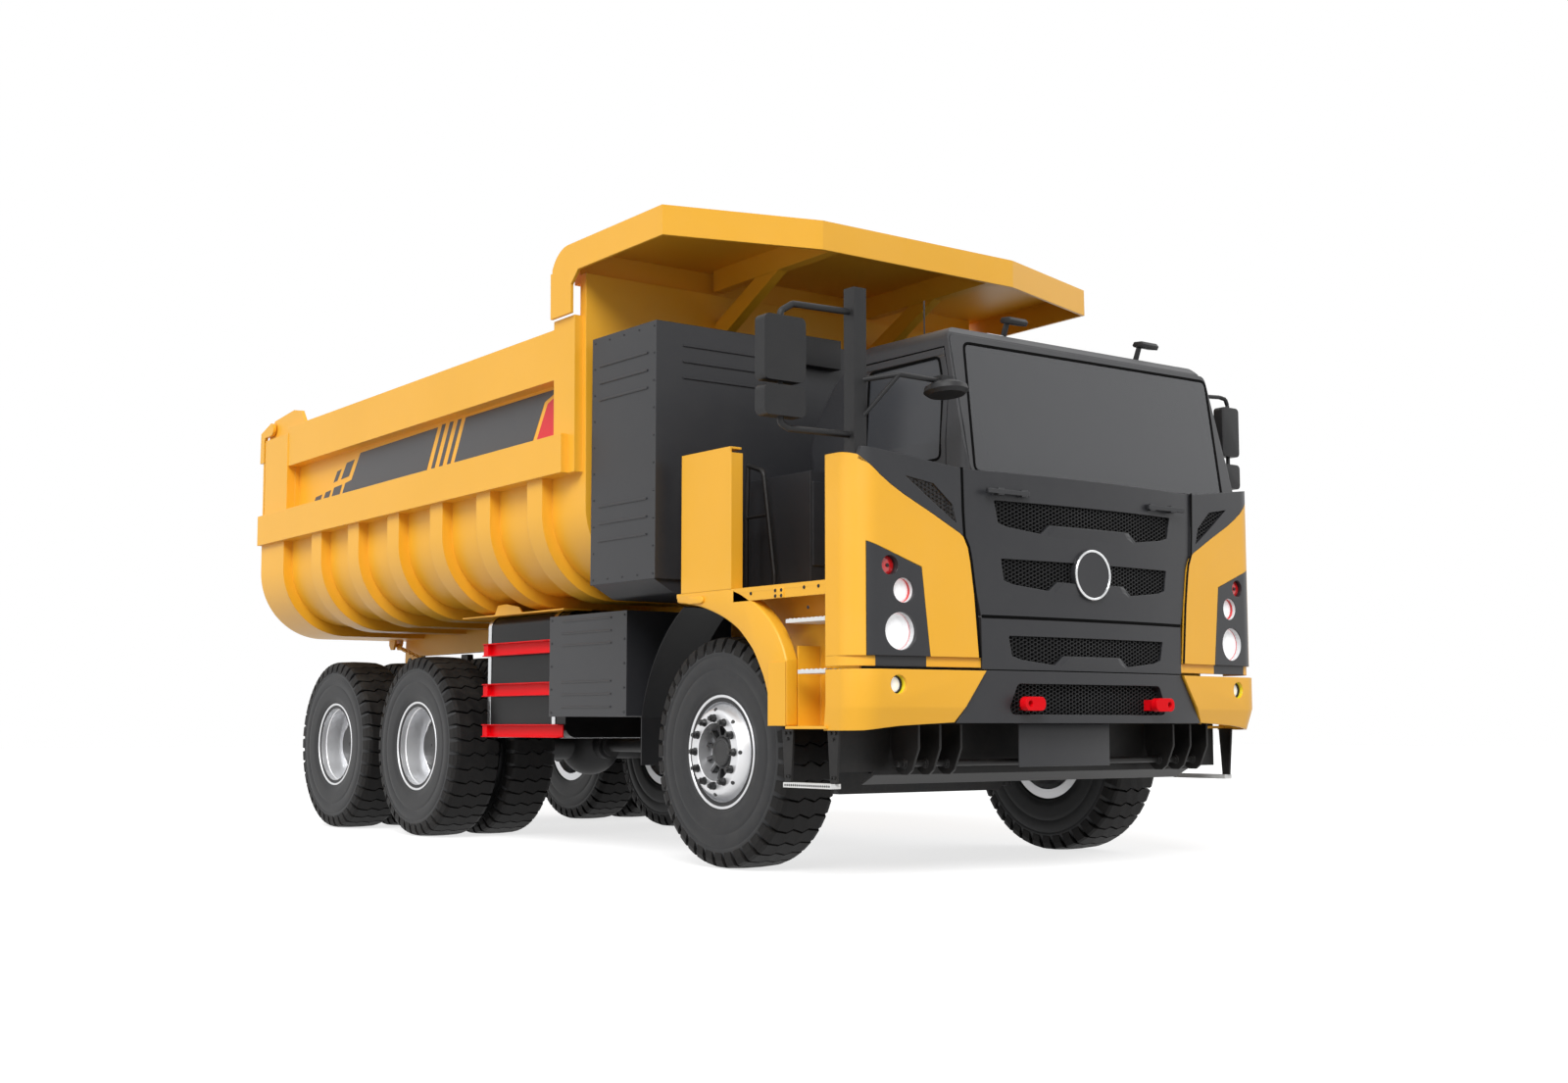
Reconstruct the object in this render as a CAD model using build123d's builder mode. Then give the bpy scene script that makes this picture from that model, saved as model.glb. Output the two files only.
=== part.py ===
"""Electric wide-body mining dump truck, one STEP file for each rigid piece.

Millimetres.  +Z is up, the truck faces -Y and +X is its left-hand side.  The
origin lies on the ground in the middle of the truck's length and width.
"""
import os
from math import asin, atan2, cos, degrees, pi, radians, sin, sqrt

from build123d import *

# ---------------------------------------------------------------- main sizes
FRONT_REACH = 1700.0          # bumper's most forward point, ahead of the front axle
REAR_REACH = 7250.0           # tailgate's outer face, behind the front axle
FA = FRONT_REACH - (FRONT_REACH + REAR_REACH) / 2     # front axle's place along Y
MID_Y = FA + 4372.0           # middle axle
BOGIE = 1653.0                # middle axle to rear axle
REAR_Y = MID_Y + BOGIE

SEAT = 0.3                    # paint-thick clearance between bolted pieces
PANEL_GAP = 6.0               # shut line round doors and panels
MOVE_GAP = 8.0                # clearance of pieces that move

# ---------------------------------------------------------------- wheels
TYRE_R = 746.5
TYRE_W = 430.0                # section width
TREAD_W = 350.0
TREAD_R = 718.0               # bottom of the grooves
BARS = 40                     # tread bars
BAR_W = 84.0
RIM_R = 322.0                 # bead seat
FLANGE_R = 368.0
RIM_W = 380.0
AXLE_Z = TYRE_R
FRONT_X = 1480.0              # tyre centre of the front wheels
OUTER_X = 1494.0              # outer tyre of the rear twins
TWIN = 520.0                  # spacing of the twins

# ---------------------------------------------------------------- chassis
RAIL_IN = 380.0
RAIL_OUT = 470.0
RAIL_Z0 = 1050.0
RAIL_Z1 = 1400.0
RAIL_T = 16.0                 # web and flange
RAIL_FRONT = FA - 1180.0
RAIL_REAR = FA + 6990.0
KINGPIN_X = 1130.0
KINGPIN_R = 40.0
SPRING_Z0 = 660.0             # underside of the front leaves
LEAF_T = 22.0
SPINDLE_R = 70.0
AXLE_R = 90.0                 # stub that carries the rear hubs
TIE_Y = FA + 230.0            # tie rod behind the axle
TIE_Z = 560.0
ARM_X = 1090.0

# ---------------------------------------------------------------- tipper
TIP_Y = FA + 6900.0
TIP_Z = 1530.0
PIN_R = 45.0
BEAM_X = (458.0, 540.0)       # long beams below the floor, outside the ears
TUB_RAKE = 0.83               # the load body falls towards the rear, degrees
RAKE_Y = FA + 1670.0
TUB_Y0 = FA + 1300.0
TUB_Y1 = FA + 7110.0
SKIN_X = 1900.0               # outer face of the side sheet
SKIN_T = 60.0
SKIN_R = 540.0
SKIN_Z = 1915.0               # underside of the floor sheet
RAIL_LOW_Z = (2695.0, 2975.0)
RAIL_LOW_X = 2030.0
PANEL_X = 1853.0              # recessed panel that carries the stripes
BAND_X = 1970.0
BAND_Z = (3396.0, 3690.0)
LIP_Z = 3765.0
RIB_X = 1985.0
RIB_Z = 1825.0
RIB_R = 620.0
RIB_W = 220.0
RIB_N = 6
RIB_FIRST = FA + 1875.0
RIB_PITCH = 787.0
FRAME_W = 544.0               # wide frame at the rear
POST_W = 290.0

# ---------------------------------------------------------------- cab
CAB_X0 = -880.0               # right wall: the cab stands left of the middle
CAB_X1 = 1650.0
CAB_T = 45.0
CAB_Z0 = 1620.0
CAB_Z1 = 3440.0
FASCIA_X = 1812.0
BOW_R = 7500.0                # plan radius of the front


# ---------------------------------------------------------------- helpers
def slab(x0, x1, y0, y1, z0, z1, mode=Mode.ADD):
    with Locations(((x0 + x1) / 2, (y0 + y1) / 2, (z0 + z1) / 2)):
        Box(abs(x1 - x0), abs(y1 - y0), abs(z1 - z0), mode=mode)


def face(plane, points, radius):
    with BuildSketch(plane) as sketch:
        with BuildLine():
            if radius:
                FilletPolyline(*points, radius=radius, close=True)
            else:
                Polyline(*points, close=True)
        make_face()
    return sketch.sketch


def plate_x(points, x0, x1, radius=0, mode=Mode.ADD):
    """Outline in (y, z), y from the front axle, thick from x0 to x1."""
    plane = Plane(origin=(x0, FA, 0), x_dir=(0, 1, 0), z_dir=(1, 0, 0))
    extrude(face(plane, points, radius), amount=x1 - x0, mode=mode)


def plate_y(points, y0, y1, radius=0, mode=Mode.ADD):
    """Outline in (x, z), thick from y0 to y1."""
    plane = Plane(origin=(0, y1, 0), x_dir=(1, 0, 0), z_dir=(0, -1, 0))
    extrude(face(plane, points, radius), amount=y1 - y0, mode=mode)


def plate_z(points, z0, z1, radius=0, mode=Mode.ADD):
    """Outline in (x, y), y from the front axle, thick from z0 to z1."""
    extrude(face(Plane(origin=(0, FA, z0)), points, radius), amount=z1 - z0, mode=mode)


def rod(a, b, radius, mode=Mode.ADD):
    a, b = Vector(*a), Vector(*b)
    with Locations(Plane(origin=(a + b) * 0.5, z_dir=b - a)):
        Cylinder(radius, (b - a).length, mode=mode)


def tube(points, radius, bend):
    with BuildPart(mode=Mode.PRIVATE) as bent:
        with BuildLine() as path:
            FilletPolyline(*points, radius=bend)
        with BuildSketch(Plane(origin=path.line @ 0, z_dir=path.line % 0)):
            Circle(radius)
        sweep(path=path.line)
    add(bent.part)


def front_y(x):
    return FA - FRONT_REACH + BOW_R - sqrt(BOW_R ** 2 - x ** 2)


def bow(depth, thick):
    """Keep only the bowed layer of the front that lies depth behind its face."""
    with BuildSketch(Plane.XY) as ring:
        with Locations((0, FA - FRONT_REACH + BOW_R)):
            Circle(BOW_R - depth)
            Circle(BOW_R - depth - thick, mode=Mode.SUBTRACT)
    extrude(ring.sketch, amount=6000, mode=Mode.INTERSECT)


def save(label, shape):
    shape.label = label
    export_step(shape, "parts/" + label + ".step")


os.makedirs("parts", exist_ok=True)

# ================================================================ chassis
PAD_Z = 1590.0                # tub beams rest on pads at this height
HOIST_X = 250.0
BASE_Y = FA + 5550.0          # lower pins of the hoist
BASE_Z = 750.0
BASE_PIN_R = 30.0
BARREL_R = 80.0
HANGER_Z = SPRING_Z0 + 4 * LEAF_T + SEAT
with BuildPart() as rails:
    for s in (-1, 1):
        plate_y([(s * RAIL_IN, RAIL_Z0), (s * RAIL_OUT, RAIL_Z0), (s * RAIL_OUT, RAIL_Z1),
                 (s * RAIL_IN, RAIL_Z1), (s * RAIL_IN, RAIL_Z1 - RAIL_T),
                 (s * (RAIL_OUT - RAIL_T), RAIL_Z1 - RAIL_T),
                 (s * (RAIL_OUT - RAIL_T), RAIL_Z0 + RAIL_T), (s * RAIL_IN, RAIL_Z0 + RAIL_T)],
                RAIL_FRONT, RAIL_REAR)
save("chassis_frame", rails.part)

# cross members between the webs: front axle to place, width along Y
TRUNNION_Y = (MID_Y + REAR_Y) / 2 - FA
MEMBER_X = RAIL_OUT - RAIL_T - SEAT
MEMBERS = [(-1120, 60), (-300, 90), (1300, 90), (3150, 70), (TRUNNION_Y, 160), (6940, 80)]
with BuildPart() as members:
    for y, w in MEMBERS:
        slab(-MEMBER_X, MEMBER_X, FA + y - w / 2, FA + y + w / 2, RAIL_Z0 + RAIL_T + SEAT,
             RAIL_Z1 - RAIL_T - SEAT)
    # tow beam across the front of the rails
    slab(-640, 640, RAIL_FRONT - SEAT - 40, RAIL_FRONT - SEAT, 900, 1240)
save("cross_members", members.part)

TRUNNION_Z = 770.0
TRUNNION_R = 62.0
with BuildPart() as brackets:
    front = TRUNNION_Y + 80 + SEAT
    for s in (-1, 1):
        # front spring hangers below the rails: top from, to, bottom from, to
        for a, b, c, d in ((-1140, -720, -1020, -780), (830, 1010, 860, 960)):
            plate_x([(a, RAIL_Z0 - SEAT), (b, RAIL_Z0 - SEAT), (d, HANGER_Z), (c, HANGER_Z)],
                    s * 390, s * 465)
        # trunnion brackets of the bogie outside the rails
        x = s * (RAIL_OUT + SEAT)
        plate_x([(TRUNNION_Y - 330, RAIL_Z1 - 40), (TRUNNION_Y + 330, RAIL_Z1 - 40),
                 (TRUNNION_Y + 110, TRUNNION_Z - 90), (TRUNNION_Y - 110, TRUNNION_Z - 90)], x, x + s * 24)
        rod((x, FA + TRUNNION_Y, TRUNNION_Z), (s * 650, FA + TRUNNION_Y, TRUNNION_Z), TRUNNION_R)
        # body rests, tipping ears and cab mounts on the upper flanges
        for y in (1700, 2700, 4000, 5900):
            plate_x([(y - 90, RAIL_Z1 + SEAT), (y + 90, RAIL_Z1 + SEAT), (y + 60, PAD_Z - MOVE_GAP),
                     (y - 60, PAD_Z - MOVE_GAP)], s * 405, s * 465)
        plate_x([(6780, RAIL_Z1 + SEAT), (6988, RAIL_Z1 + SEAT), (6980, TIP_Z + 40), (6930, TIP_Z + 80),
                 (6870, TIP_Z + 80), (6820, TIP_Z + 40)], s * 400, s * 450)
        for y in (-1000, -50):
            plate_x([(y - 70, RAIL_Z1 + SEAT), (y + 70, RAIL_Z1 + SEAT), (y + 50, CAB_Z0 - SEAT),
                     (y - 50, CAB_Z0 - SEAT)], s * 400, s * 460)
        # hinge pin of the load body, from the ear outwards
        rod((s * 400, TIP_Y, TIP_Z), (s * (BEAM_X[1] + 6), TIP_Y, TIP_Z), PIN_R)
        # lower hoist brackets hang from the cross member between the bogie's axles
        for x in (HOIST_X - BARREL_R - 33, HOIST_X + BARREL_R + 8):
            plate_x([(5500, BASE_Z - 45), (5590, BASE_Z - 45), (5610, BASE_Z + 40), (front + 30, 1330),
                     (front, 1330), (front, 1080)], s * x, s * (x + 25))
        rod((s * (HOIST_X - BARREL_R - 33), BASE_Y, BASE_Z), (s * (HOIST_X + BARREL_R + 33), BASE_Y, BASE_Z),
            BASE_PIN_R)
save("frame_brackets", brackets.part)

# ---------------------------------------------------------------- axles
BEAM_Z = (455.0, 610.0)
with BuildPart() as front_axle:
    half = [(KINGPIN_X - 75, 640), (880, 640), (740, BEAM_Z[0])]
    top = [(700, BEAM_Z[1]), (850, 790), (KINGPIN_X - 75, 800)]
    plate_y([*half, *[(-x, z) for x, z in half[::-1]], *[(-x, z) for x, z in top[::-1]], *top],
            FA - 65, FA + 65)
    for s in (-1, 1):
        rod((s * KINGPIN_X, FA, AXLE_Z - 120), (s * KINGPIN_X, FA, AXLE_Z + 120), 78)
        rod((s * KINGPIN_X, FA, AXLE_Z - 130), (s * KINGPIN_X, FA, AXLE_Z + 130), KINGPIN_R + SEAT,
            mode=Mode.SUBTRACT)
        slab(s * 375, s * 485, FA - 170, FA + 170, BEAM_Z[1] - 20, SPRING_Z0 - SEAT)
save("front_axle", front_axle.part)

KNUCKLE_IN = 128.0            # the knuckle's forks clear the beam's boss
with BuildPart() as knuckle:
    # upper and lower forks round the kingpin, spindle and steering arm
    for z in (-1, 1):
        rod((KINGPIN_X, FA, AXLE_Z + z * KNUCKLE_IN), (KINGPIN_X, FA, AXLE_Z + z * (KNUCKLE_IN + 55)), 72)
        slab(KINGPIN_X, KINGPIN_X + 130, FA - 60, FA + 60, AXLE_Z + z * KNUCKLE_IN,
             AXLE_Z + z * (KNUCKLE_IN + 55))
    slab(KINGPIN_X + 90, KINGPIN_X + 150, FA - 110, FA + 110, AXLE_Z - KNUCKLE_IN - 55,
         AXLE_Z + KNUCKLE_IN + 55)
    rod((KINGPIN_X, FA, AXLE_Z - KNUCKLE_IN), (KINGPIN_X, FA, AXLE_Z + KNUCKLE_IN), KINGPIN_R)
    rod((KINGPIN_X + 140, FA, AXLE_Z), (KINGPIN_X + 330, FA, AXLE_Z), SPINDLE_R)
    plate_z([(KINGPIN_X - 50, 0), (KINGPIN_X + 50, 0), (ARM_X + 40, TIE_Y - FA + 35),
             (ARM_X - 40, TIE_Y - FA + 35)], AXLE_Z - KNUCKLE_IN - 55, AXLE_Z - KNUCKLE_IN - 5)
    rod((ARM_X, TIE_Y, TIE_Z - 25), (ARM_X, TIE_Y, AXLE_Z - KNUCKLE_IN - 50), 30)
save("knuckle_left", Part(knuckle.part.wrapped))
save("knuckle_right", mirror(knuckle.part, about=Plane.YZ))

with BuildPart() as tie_rod:
    rod((-ARM_X + 60, TIE_Y, TIE_Z - 60), (ARM_X - 60, TIE_Y, TIE_Z - 60), 26)
    for s in (-1, 1):
        rod((s * (ARM_X - 80), TIE_Y, TIE_Z - 60), (s * ARM_X, TIE_Y, TIE_Z - 60), 30)
        rod((s * ARM_X, TIE_Y, TIE_Z - 85), (s * ARM_X, TIE_Y, TIE_Z - 25 - SEAT), 42)
save("tie_rod", tie_rod.part)

HOUSING_R = 125.0
AXLE_END = 640.0
with BuildPart() as bogie_axles:
    for y, side in ((MID_Y, -1), (REAR_Y, 1)):
        rod((-AXLE_END, y, AXLE_Z), (AXLE_END, y, AXLE_Z), HOUSING_R)
        with Locations((0, y, AXLE_Z)):
            Sphere(265)
        rod((0, y - 330, AXLE_Z), (0, y + 330, AXLE_Z), 120)
        for s in (-1, 1):
            rod((s * AXLE_END, y, AXLE_Z), (s * (AXLE_END + 60), y, AXLE_Z), 185)
            rod((s * AXLE_END, y, AXLE_Z), (s * (OUTER_X - 30), y, AXLE_Z), AXLE_R)
            slab(s * 505, s * 625, y - 90, y + 90, AXLE_Z, AXLE_Z + HOUSING_R + 25)
save("bogie_axles", bogie_axles.part)

LEAF_X = (510.0, 620.0)
LEAF_Z = AXLE_Z + HOUSING_R + 25 + SEAT
with BuildPart() as springs:
    for s in (-1, 1):
        # front pack of leaves under the rail
        for k in range(4):
            r = 860 - 150 * k
            slab(s * 385, s * 475, FA - r, FA + r + (70 if k == 0 else 0), SPRING_Z0 + LEAF_T * (3 - k),
                 SPRING_Z0 + LEAF_T * (4 - k))
        # inverted pack of the bogie, ends on the axle pads
        for k in range(5):
            r = (BOGIE / 2 + 90) - 140 * k
            slab(s * LEAF_X[0], s * LEAF_X[1], FA + TRUNNION_Y - r, FA + TRUNNION_Y + r, LEAF_Z + 24 * k,
                 LEAF_Z + 24 * (k + 1))
        slab(s * LEAF_X[0], s * LEAF_X[1], FA + TRUNNION_Y - 110, FA + TRUNNION_Y + 110,
             TRUNNION_Z + TRUNNION_R + SEAT, LEAF_Z + 1)
save("leaf_springs", springs.part)

with BuildPart() as driveline:
    slab(-330, 330, FA + 1700, FA + 2500, 690, 1230)
    slab(-230, 230, FA + 2500, FA + 2950, 600, 1000)
    for a, b in ((2950, 4372 - 330), (4372 + 330, 6025 - 330)):
        rod((0, FA + a + SEAT, AXLE_Z), (0, FA + b - SEAT, AXLE_Z), 58)
        for y in (a + SEAT, b - 40 - SEAT):
            rod((0, FA + y, AXLE_Z), (0, FA + y + 40, AXLE_Z), 95)
    for s in (-1, 1):
        slab(s * 325, s * (RAIL_IN - SEAT), FA + 1900, FA + 2300, RAIL_Z0 + 40, RAIL_Z0 + 120)
save("drive_motor", driveline.part)


# ---------------------------------------------------------------- wheels
def tyre_solid():
    """Carcass with tread bars that run over both shoulders."""
    with BuildPart() as tyre:
        with BuildSketch(Plane.XY) as half:
            with BuildLine():
                Polyline((-RIM_W / 2 + 6, RIM_R + 1), (-RIM_W / 2 + 6, FLANGE_R + 4), (-TYRE_W / 2, 545),
                         (-TREAD_W / 2 - 15, TREAD_R - 15), (-TREAD_W / 2 + 25, TREAD_R),
                         (TREAD_W / 2 - 25, TREAD_R), (TREAD_W / 2 + 15, TREAD_R - 15), (TYRE_W / 2, 545),
                         (RIM_W / 2 - 6, FLANGE_R + 4), (RIM_W / 2 - 6, RIM_R + 1), close=True)
            make_face()
        revolve(half.sketch, axis=Axis.X)
        with BuildSketch(Plane.XZ) as bar:
            with BuildLine():
                Polyline((-TYRE_W / 2 + 9, 662), (-TREAD_W / 2 - 2, TYRE_R), (TREAD_W / 2 + 2, TYRE_R),
                         (TYRE_W / 2 - 9, 662), close=True)
            make_face()
        block = extrude(bar.sketch, amount=BAR_W / 2, both=True, mode=Mode.PRIVATE)
        add([Rot(X=k * 360 / BARS) * block for k in range(BARS)])
    return tyre.part


def front_rim():
    """Rim for +X as the outer side: flange, dish with a bolt ring and a long hub."""
    with BuildPart() as rim:
        with BuildSketch(Plane.XY) as half:
            with BuildLine():
                Polyline((-RIM_W / 2, FLANGE_R), (-RIM_W / 2 + 5, FLANGE_R), (-RIM_W / 2 + 5, RIM_R),
                         (RIM_W / 2 - 5, RIM_R), (RIM_W / 2 - 5, FLANGE_R), (RIM_W / 2, FLANGE_R),
                         (RIM_W / 2, RIM_R - 20), (RIM_W / 2 - 60, 300), (RIM_W / 2 - 70, 262),
                         (RIM_W / 2 - 10, 235), (RIM_W / 2 - 10, 150), (RIM_W / 2 + 60, 135),
                         (RIM_W / 2 + 75, 70), (RIM_W / 2 + 75, 0), (RIM_W / 2 - 80, 0),
                         (RIM_W / 2 - 80, SPINDLE_R + SEAT), (-60, SPINDLE_R + SEAT), (-60, 235), (RIM_W / 2 - 100, 245),
                         (RIM_W / 2 - 100, 300), (-RIM_W / 2, 300), close=True)
            make_face()
        revolve(half.sketch, axis=Axis.X)
        for k in range(8):
            a = radians(45 * k + 22.5)
            y, z = 274 * cos(a), 274 * sin(a)
            rod((RIM_W / 2 - 115, y, z), (RIM_W / 2 - 20, y, z), 14, mode=Mode.SUBTRACT)
    return rim.part


def twin_rim():
    """Two rims joined back to back at their discs, outer tyre at +X."""
    with BuildPart() as rim:
        with BuildSketch(Plane.XY) as half:
            a = -TWIN - RIM_W / 2
            with BuildLine():
                Polyline((a, FLANGE_R), (a + 5, FLANGE_R), (a + 5, RIM_R), (a + RIM_W - 5, RIM_R),
                         (a + RIM_W - 5, FLANGE_R), (a + RIM_W, FLANGE_R), (a + RIM_W, RIM_R + 10),
                         (-RIM_W / 2, RIM_R + 10), (-RIM_W / 2, FLANGE_R), (-RIM_W / 2 + 5, FLANGE_R),
                         (-RIM_W / 2 + 5, RIM_R), (RIM_W / 2 - 5, RIM_R), (RIM_W / 2 - 5, FLANGE_R),
                         (RIM_W / 2, FLANGE_R), (RIM_W / 2, RIM_R - 20), (RIM_W / 2 - 40, 300),
                         (-20, 285), (-60, 240), (-20, 200), (50, 165), (60, 0), (-20, 0), (-20, AXLE_R + SEAT),
                         (a + 200, AXLE_R + SEAT), (a + 200, 200), (-100, 250), (-110, 300), (a, 300), close=True)
            make_face()
        revolve(half.sketch, axis=Axis.X)
    return rim.part


tyre = tyre_solid()
rim_front, rim_twin = front_rim(), twin_rim()
for side, s in (("left", 1), ("right", -1)):
    turn = Rot(Z=0 if s > 0 else 180)
    save("rim_front_" + side, Pos(s * FRONT_X, FA, AXLE_Z) * turn * rim_front)
    save("tyre_front_" + side, Pos(s * FRONT_X, FA, AXLE_Z) * tyre)
    for row, y in (("middle", MID_Y), ("rear", REAR_Y)):
        save("rim_" + row + "_" + side, Pos(s * OUTER_X, y, AXLE_Z) * turn * rim_twin)
        save("tyres_" + row + "_" + side, Compound(children=[
            Pos(s * OUTER_X, y, AXLE_Z) * tyre, Pos(s * (OUTER_X - TWIN), y, AXLE_Z) * tyre]))

# ================================================================ tipper
def tub_section(half, bottom, corner, top):
    """U of one body section: half width, underside, corner radius, top."""
    return [(-half, top), (-half, bottom), (half, bottom), (half, top)], (0, corner, corner, 0)


def rake(shape):
    return Pos(0, RAKE_Y, 0) * Rot(X=-TUB_RAKE) * Pos(0, -RAKE_Y, 0) * shape


TUB_BEAM_Z = PAD_Z - 40       # underside of the tub's long beams at rest
EYE_Y = FA + 5400.0           # hoist rod's pin on the load body
EYE_Z = 1660.0
EYE_PIN_R = 26.0
CHAIN_LINKS = 12
GATE_Y = TUB_Y1 + MOVE_GAP
GATE_PIN = (FA + 6955.0, 3800.0)      # tailgate's hinge in the level load body
GATE_PIN_R = 30.0
with BuildPart() as shell:
    # sheet: rounded U, hollow above the floor and closed by the front wall
    for half, bottom, corner, top, y0, y1 in (
            (SKIN_X, SKIN_Z, SKIN_R, LIP_Z - 20, TUB_Y0, TUB_Y1),
            (RIB_X, RIB_Z, RIB_R, RAIL_LOW_Z[0] + 5, TUB_Y1 - FRAME_W, TUB_Y1),
            *[(RIB_X, RIB_Z, RIB_R, RAIL_LOW_Z[0] + 5, RIB_FIRST + k * RIB_PITCH - RIB_W / 2,
               RIB_FIRST + k * RIB_PITCH + RIB_W / 2) for k in range(RIB_N)]):
        points, radii = tub_section(half, bottom, corner, top)
        plate_y(points, y0, y1, radii)
    # lower rail, upper band and lip run along both sides
    for s in (-1, 1):
        slab(s * (SKIN_X - 50), s * RAIL_LOW_X, FA + 1424, TUB_Y1, *RAIL_LOW_Z)
        slab(s * (SKIN_X - 50), s * BAND_X, FA + 1620, FA + 6560, *BAND_Z)
        slab(s * (SKIN_X - 80), s * BAND_X, FA + 1620, FA + 6560, BAND_Z[1] - 5, LIP_Z)
        # front post, rear post with its cap and ears
        slab(s * (SKIN_X - 60), s * BAND_X, FA + 1340, FA + 1340 + POST_W, RAIL_LOW_Z[0], LIP_Z + 60)
        slab(s * (SKIN_X - 60), s * (BAND_X + 8), FA + 6540, FA + 7080, RAIL_LOW_Z[1] - 5, LIP_Z - 60)
        plate_x([(6170, LIP_Z - 80), (7085, LIP_Z - 80), (7085, LIP_Z), (6960, LIP_Z + 120),
                 (6500, LIP_Z + 160), (6330, LIP_Z + 130)], s * (SKIN_X + 8), s * (SKIN_X + 38))
        rod((s * SKIN_X, *GATE_PIN), (s * (SKIN_X + 50), *GATE_PIN), GATE_PIN_R + SEAT, mode=Mode.SUBTRACT)
    slab(-SKIN_X, SKIN_X, TUB_Y0, TUB_Y0 + 80, LIP_Z - 30, 4130)
    # load space
    points, radii = tub_section(SKIN_X - SKIN_T, SKIN_Z + SKIN_T, SKIN_R - SKIN_T, 5000)
    plate_y(points, TUB_Y0 + 80, TUB_Y1 + 50, radii, mode=Mode.SUBTRACT)
    # the stripe panel lies back between the rails
    for s in (-1, 1):
        slab(s * PANEL_X, s * (SKIN_X + 60), FA + 1640, FA + 6535, RAIL_LOW_Z[1], BAND_Z[0],
             mode=Mode.SUBTRACT)
tub_raked = rake(shell.part)
with BuildPart() as tub:
    add(tub_raked)
    for s in (-1, 1):
        plate_x([(1560, PAD_Z), (6760, PAD_Z), (6800, TIP_Z), (6850, TIP_Z - 75), (6950, TIP_Z - 75),
                 (7010, TIP_Z + 10), (6990, 1860), (1560, 1940)], s * BEAM_X[0], s * BEAM_X[1])
        # brackets for the hoist rods; the open pin of the linkage has a slot
        for x in (HOIST_X - 85, HOIST_X + 60):
            plate_x([(5290, 1905), (5530, 1905), (5480, EYE_Z - 75), (5370, EYE_Z - 75), (5330, EYE_Z)],
                    s * x, s * (x + 25))
        for dy, dz in ((0, 0), (11, -16), (22, -26)):
            rod((s * (HOIST_X - 95), EYE_Y + dy, EYE_Z + dz), (s * (HOIST_X + 95), EYE_Y + dy, EYE_Z + dz),
                EYE_PIN_R + 4.5, mode=Mode.SUBTRACT)
    slab(-SKIN_X + 600, SKIN_X - 600, FA + 5260, FA + 5560, 1850, 1920)
    # prop brackets below the rear frame, and a chain that hangs on the right-hand one
    for s in (-1, 1):
        for x in (592, 662):
            plate_x([(6950, 1800), (7080, 1800), (7080, 1700), (7040, 1655), (6985, 1655), (6950, 1720)],
                    s * x, s * (x + 20))
        rod((s * 600, FA + 7015, 1700), (s * 675, FA + 7015, 1700), 18)
    fall = Vector(0, -560, -144).normalized()
    for k in range(CHAIN_LINKS):
        at = Vector(-637, FA + 7005, 1694) + fall * (34 + 46 * k)
        side = Vector(1, 0, 0) if k % 2 else fall.cross(Vector(1, 0, 0))
        with Locations(Plane(origin=at, x_dir=fall, z_dir=side)):
            with BuildPart(mode=Mode.PRIVATE) as link:
                Box(68, 38, 11)
                Box(46, 16, 11, mode=Mode.SUBTRACT)
            add(link.part)
    for s in (-1, 1):
        rod((s * 455, TIP_Y, TIP_Z), (s * 600, TIP_Y, TIP_Z), PIN_R + SEAT, mode=Mode.SUBTRACT)
save("load_body", tub.part)

CANOPY_Z = (4130.0, 4335.0)
CANOPY_X = (902.0, 2005.0)
CANOPY_Y = (-166.0, 159.0)
SIDE_T = 22.0
with BuildPart() as canopy:
    plan = [(-CANOPY_X[1], CANOPY_Y[1]), (-CANOPY_X[0], CANOPY_Y[0]), (CANOPY_X[0], CANOPY_Y[0]),
            (CANOPY_X[1], CANOPY_Y[1]), (CANOPY_X[1], 1600), (-CANOPY_X[1], 1600)]
    inner = [(-CANOPY_X[1] + SIDE_T, CANOPY_Y[1] + 16), (-CANOPY_X[0] - 5, CANOPY_Y[0] + SIDE_T),
             (CANOPY_X[0] + 5, CANOPY_Y[0] + SIDE_T), (CANOPY_X[1] - SIDE_T, CANOPY_Y[1] + 16),
             (CANOPY_X[1] - SIDE_T, 1700), (-CANOPY_X[1] + SIDE_T, 1700)]
    plate_z(plan, *CANOPY_Z)
    plate_z(inner, CANOPY_Z[0] - 10, CANOPY_Z[1] - 24, mode=Mode.SUBTRACT)
    # keep the rear corners round, then the cheeks that come down to the posts
    plate_x([(-300, 4000), (-300, CANOPY_Z[1]), (1625, CANOPY_Z[1]), (1625, 4000)], -2100, 2100,
            radius=(0, 0, 250, 0), mode=Mode.INTERSECT)
    for s in (-1, 1):
        plate_x([(1050, CANOPY_Z[0]), (1050, CANOPY_Z[0] + 40), (1623, CANOPY_Z[0] + 40), (1623, 3835),
                 (1338, 3835), (1338, 4040), (1240, CANOPY_Z[0])], s * (CANOPY_X[1] - SIDE_T),
                s * CANOPY_X[1])
        # beams below the sheet and struts to the front wall
        slab(s * 700, s * 790, FA - 130, FA + 1299, CANOPY_Z[0] + 20, CANOPY_Z[1] - 20)
        plate_x([(480, CANOPY_Z[0] + 30), (760, CANOPY_Z[0] + 30), (1299.5, 3900), (1299.5, 3740)],
                s * 705, s * 785)
    slab(-SKIN_X, SKIN_X, FA + 1381, FA + 1460, CANOPY_Z[0] - 60, CANOPY_Z[1] - 20)
save("canopy", rake(canopy.part))

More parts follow.
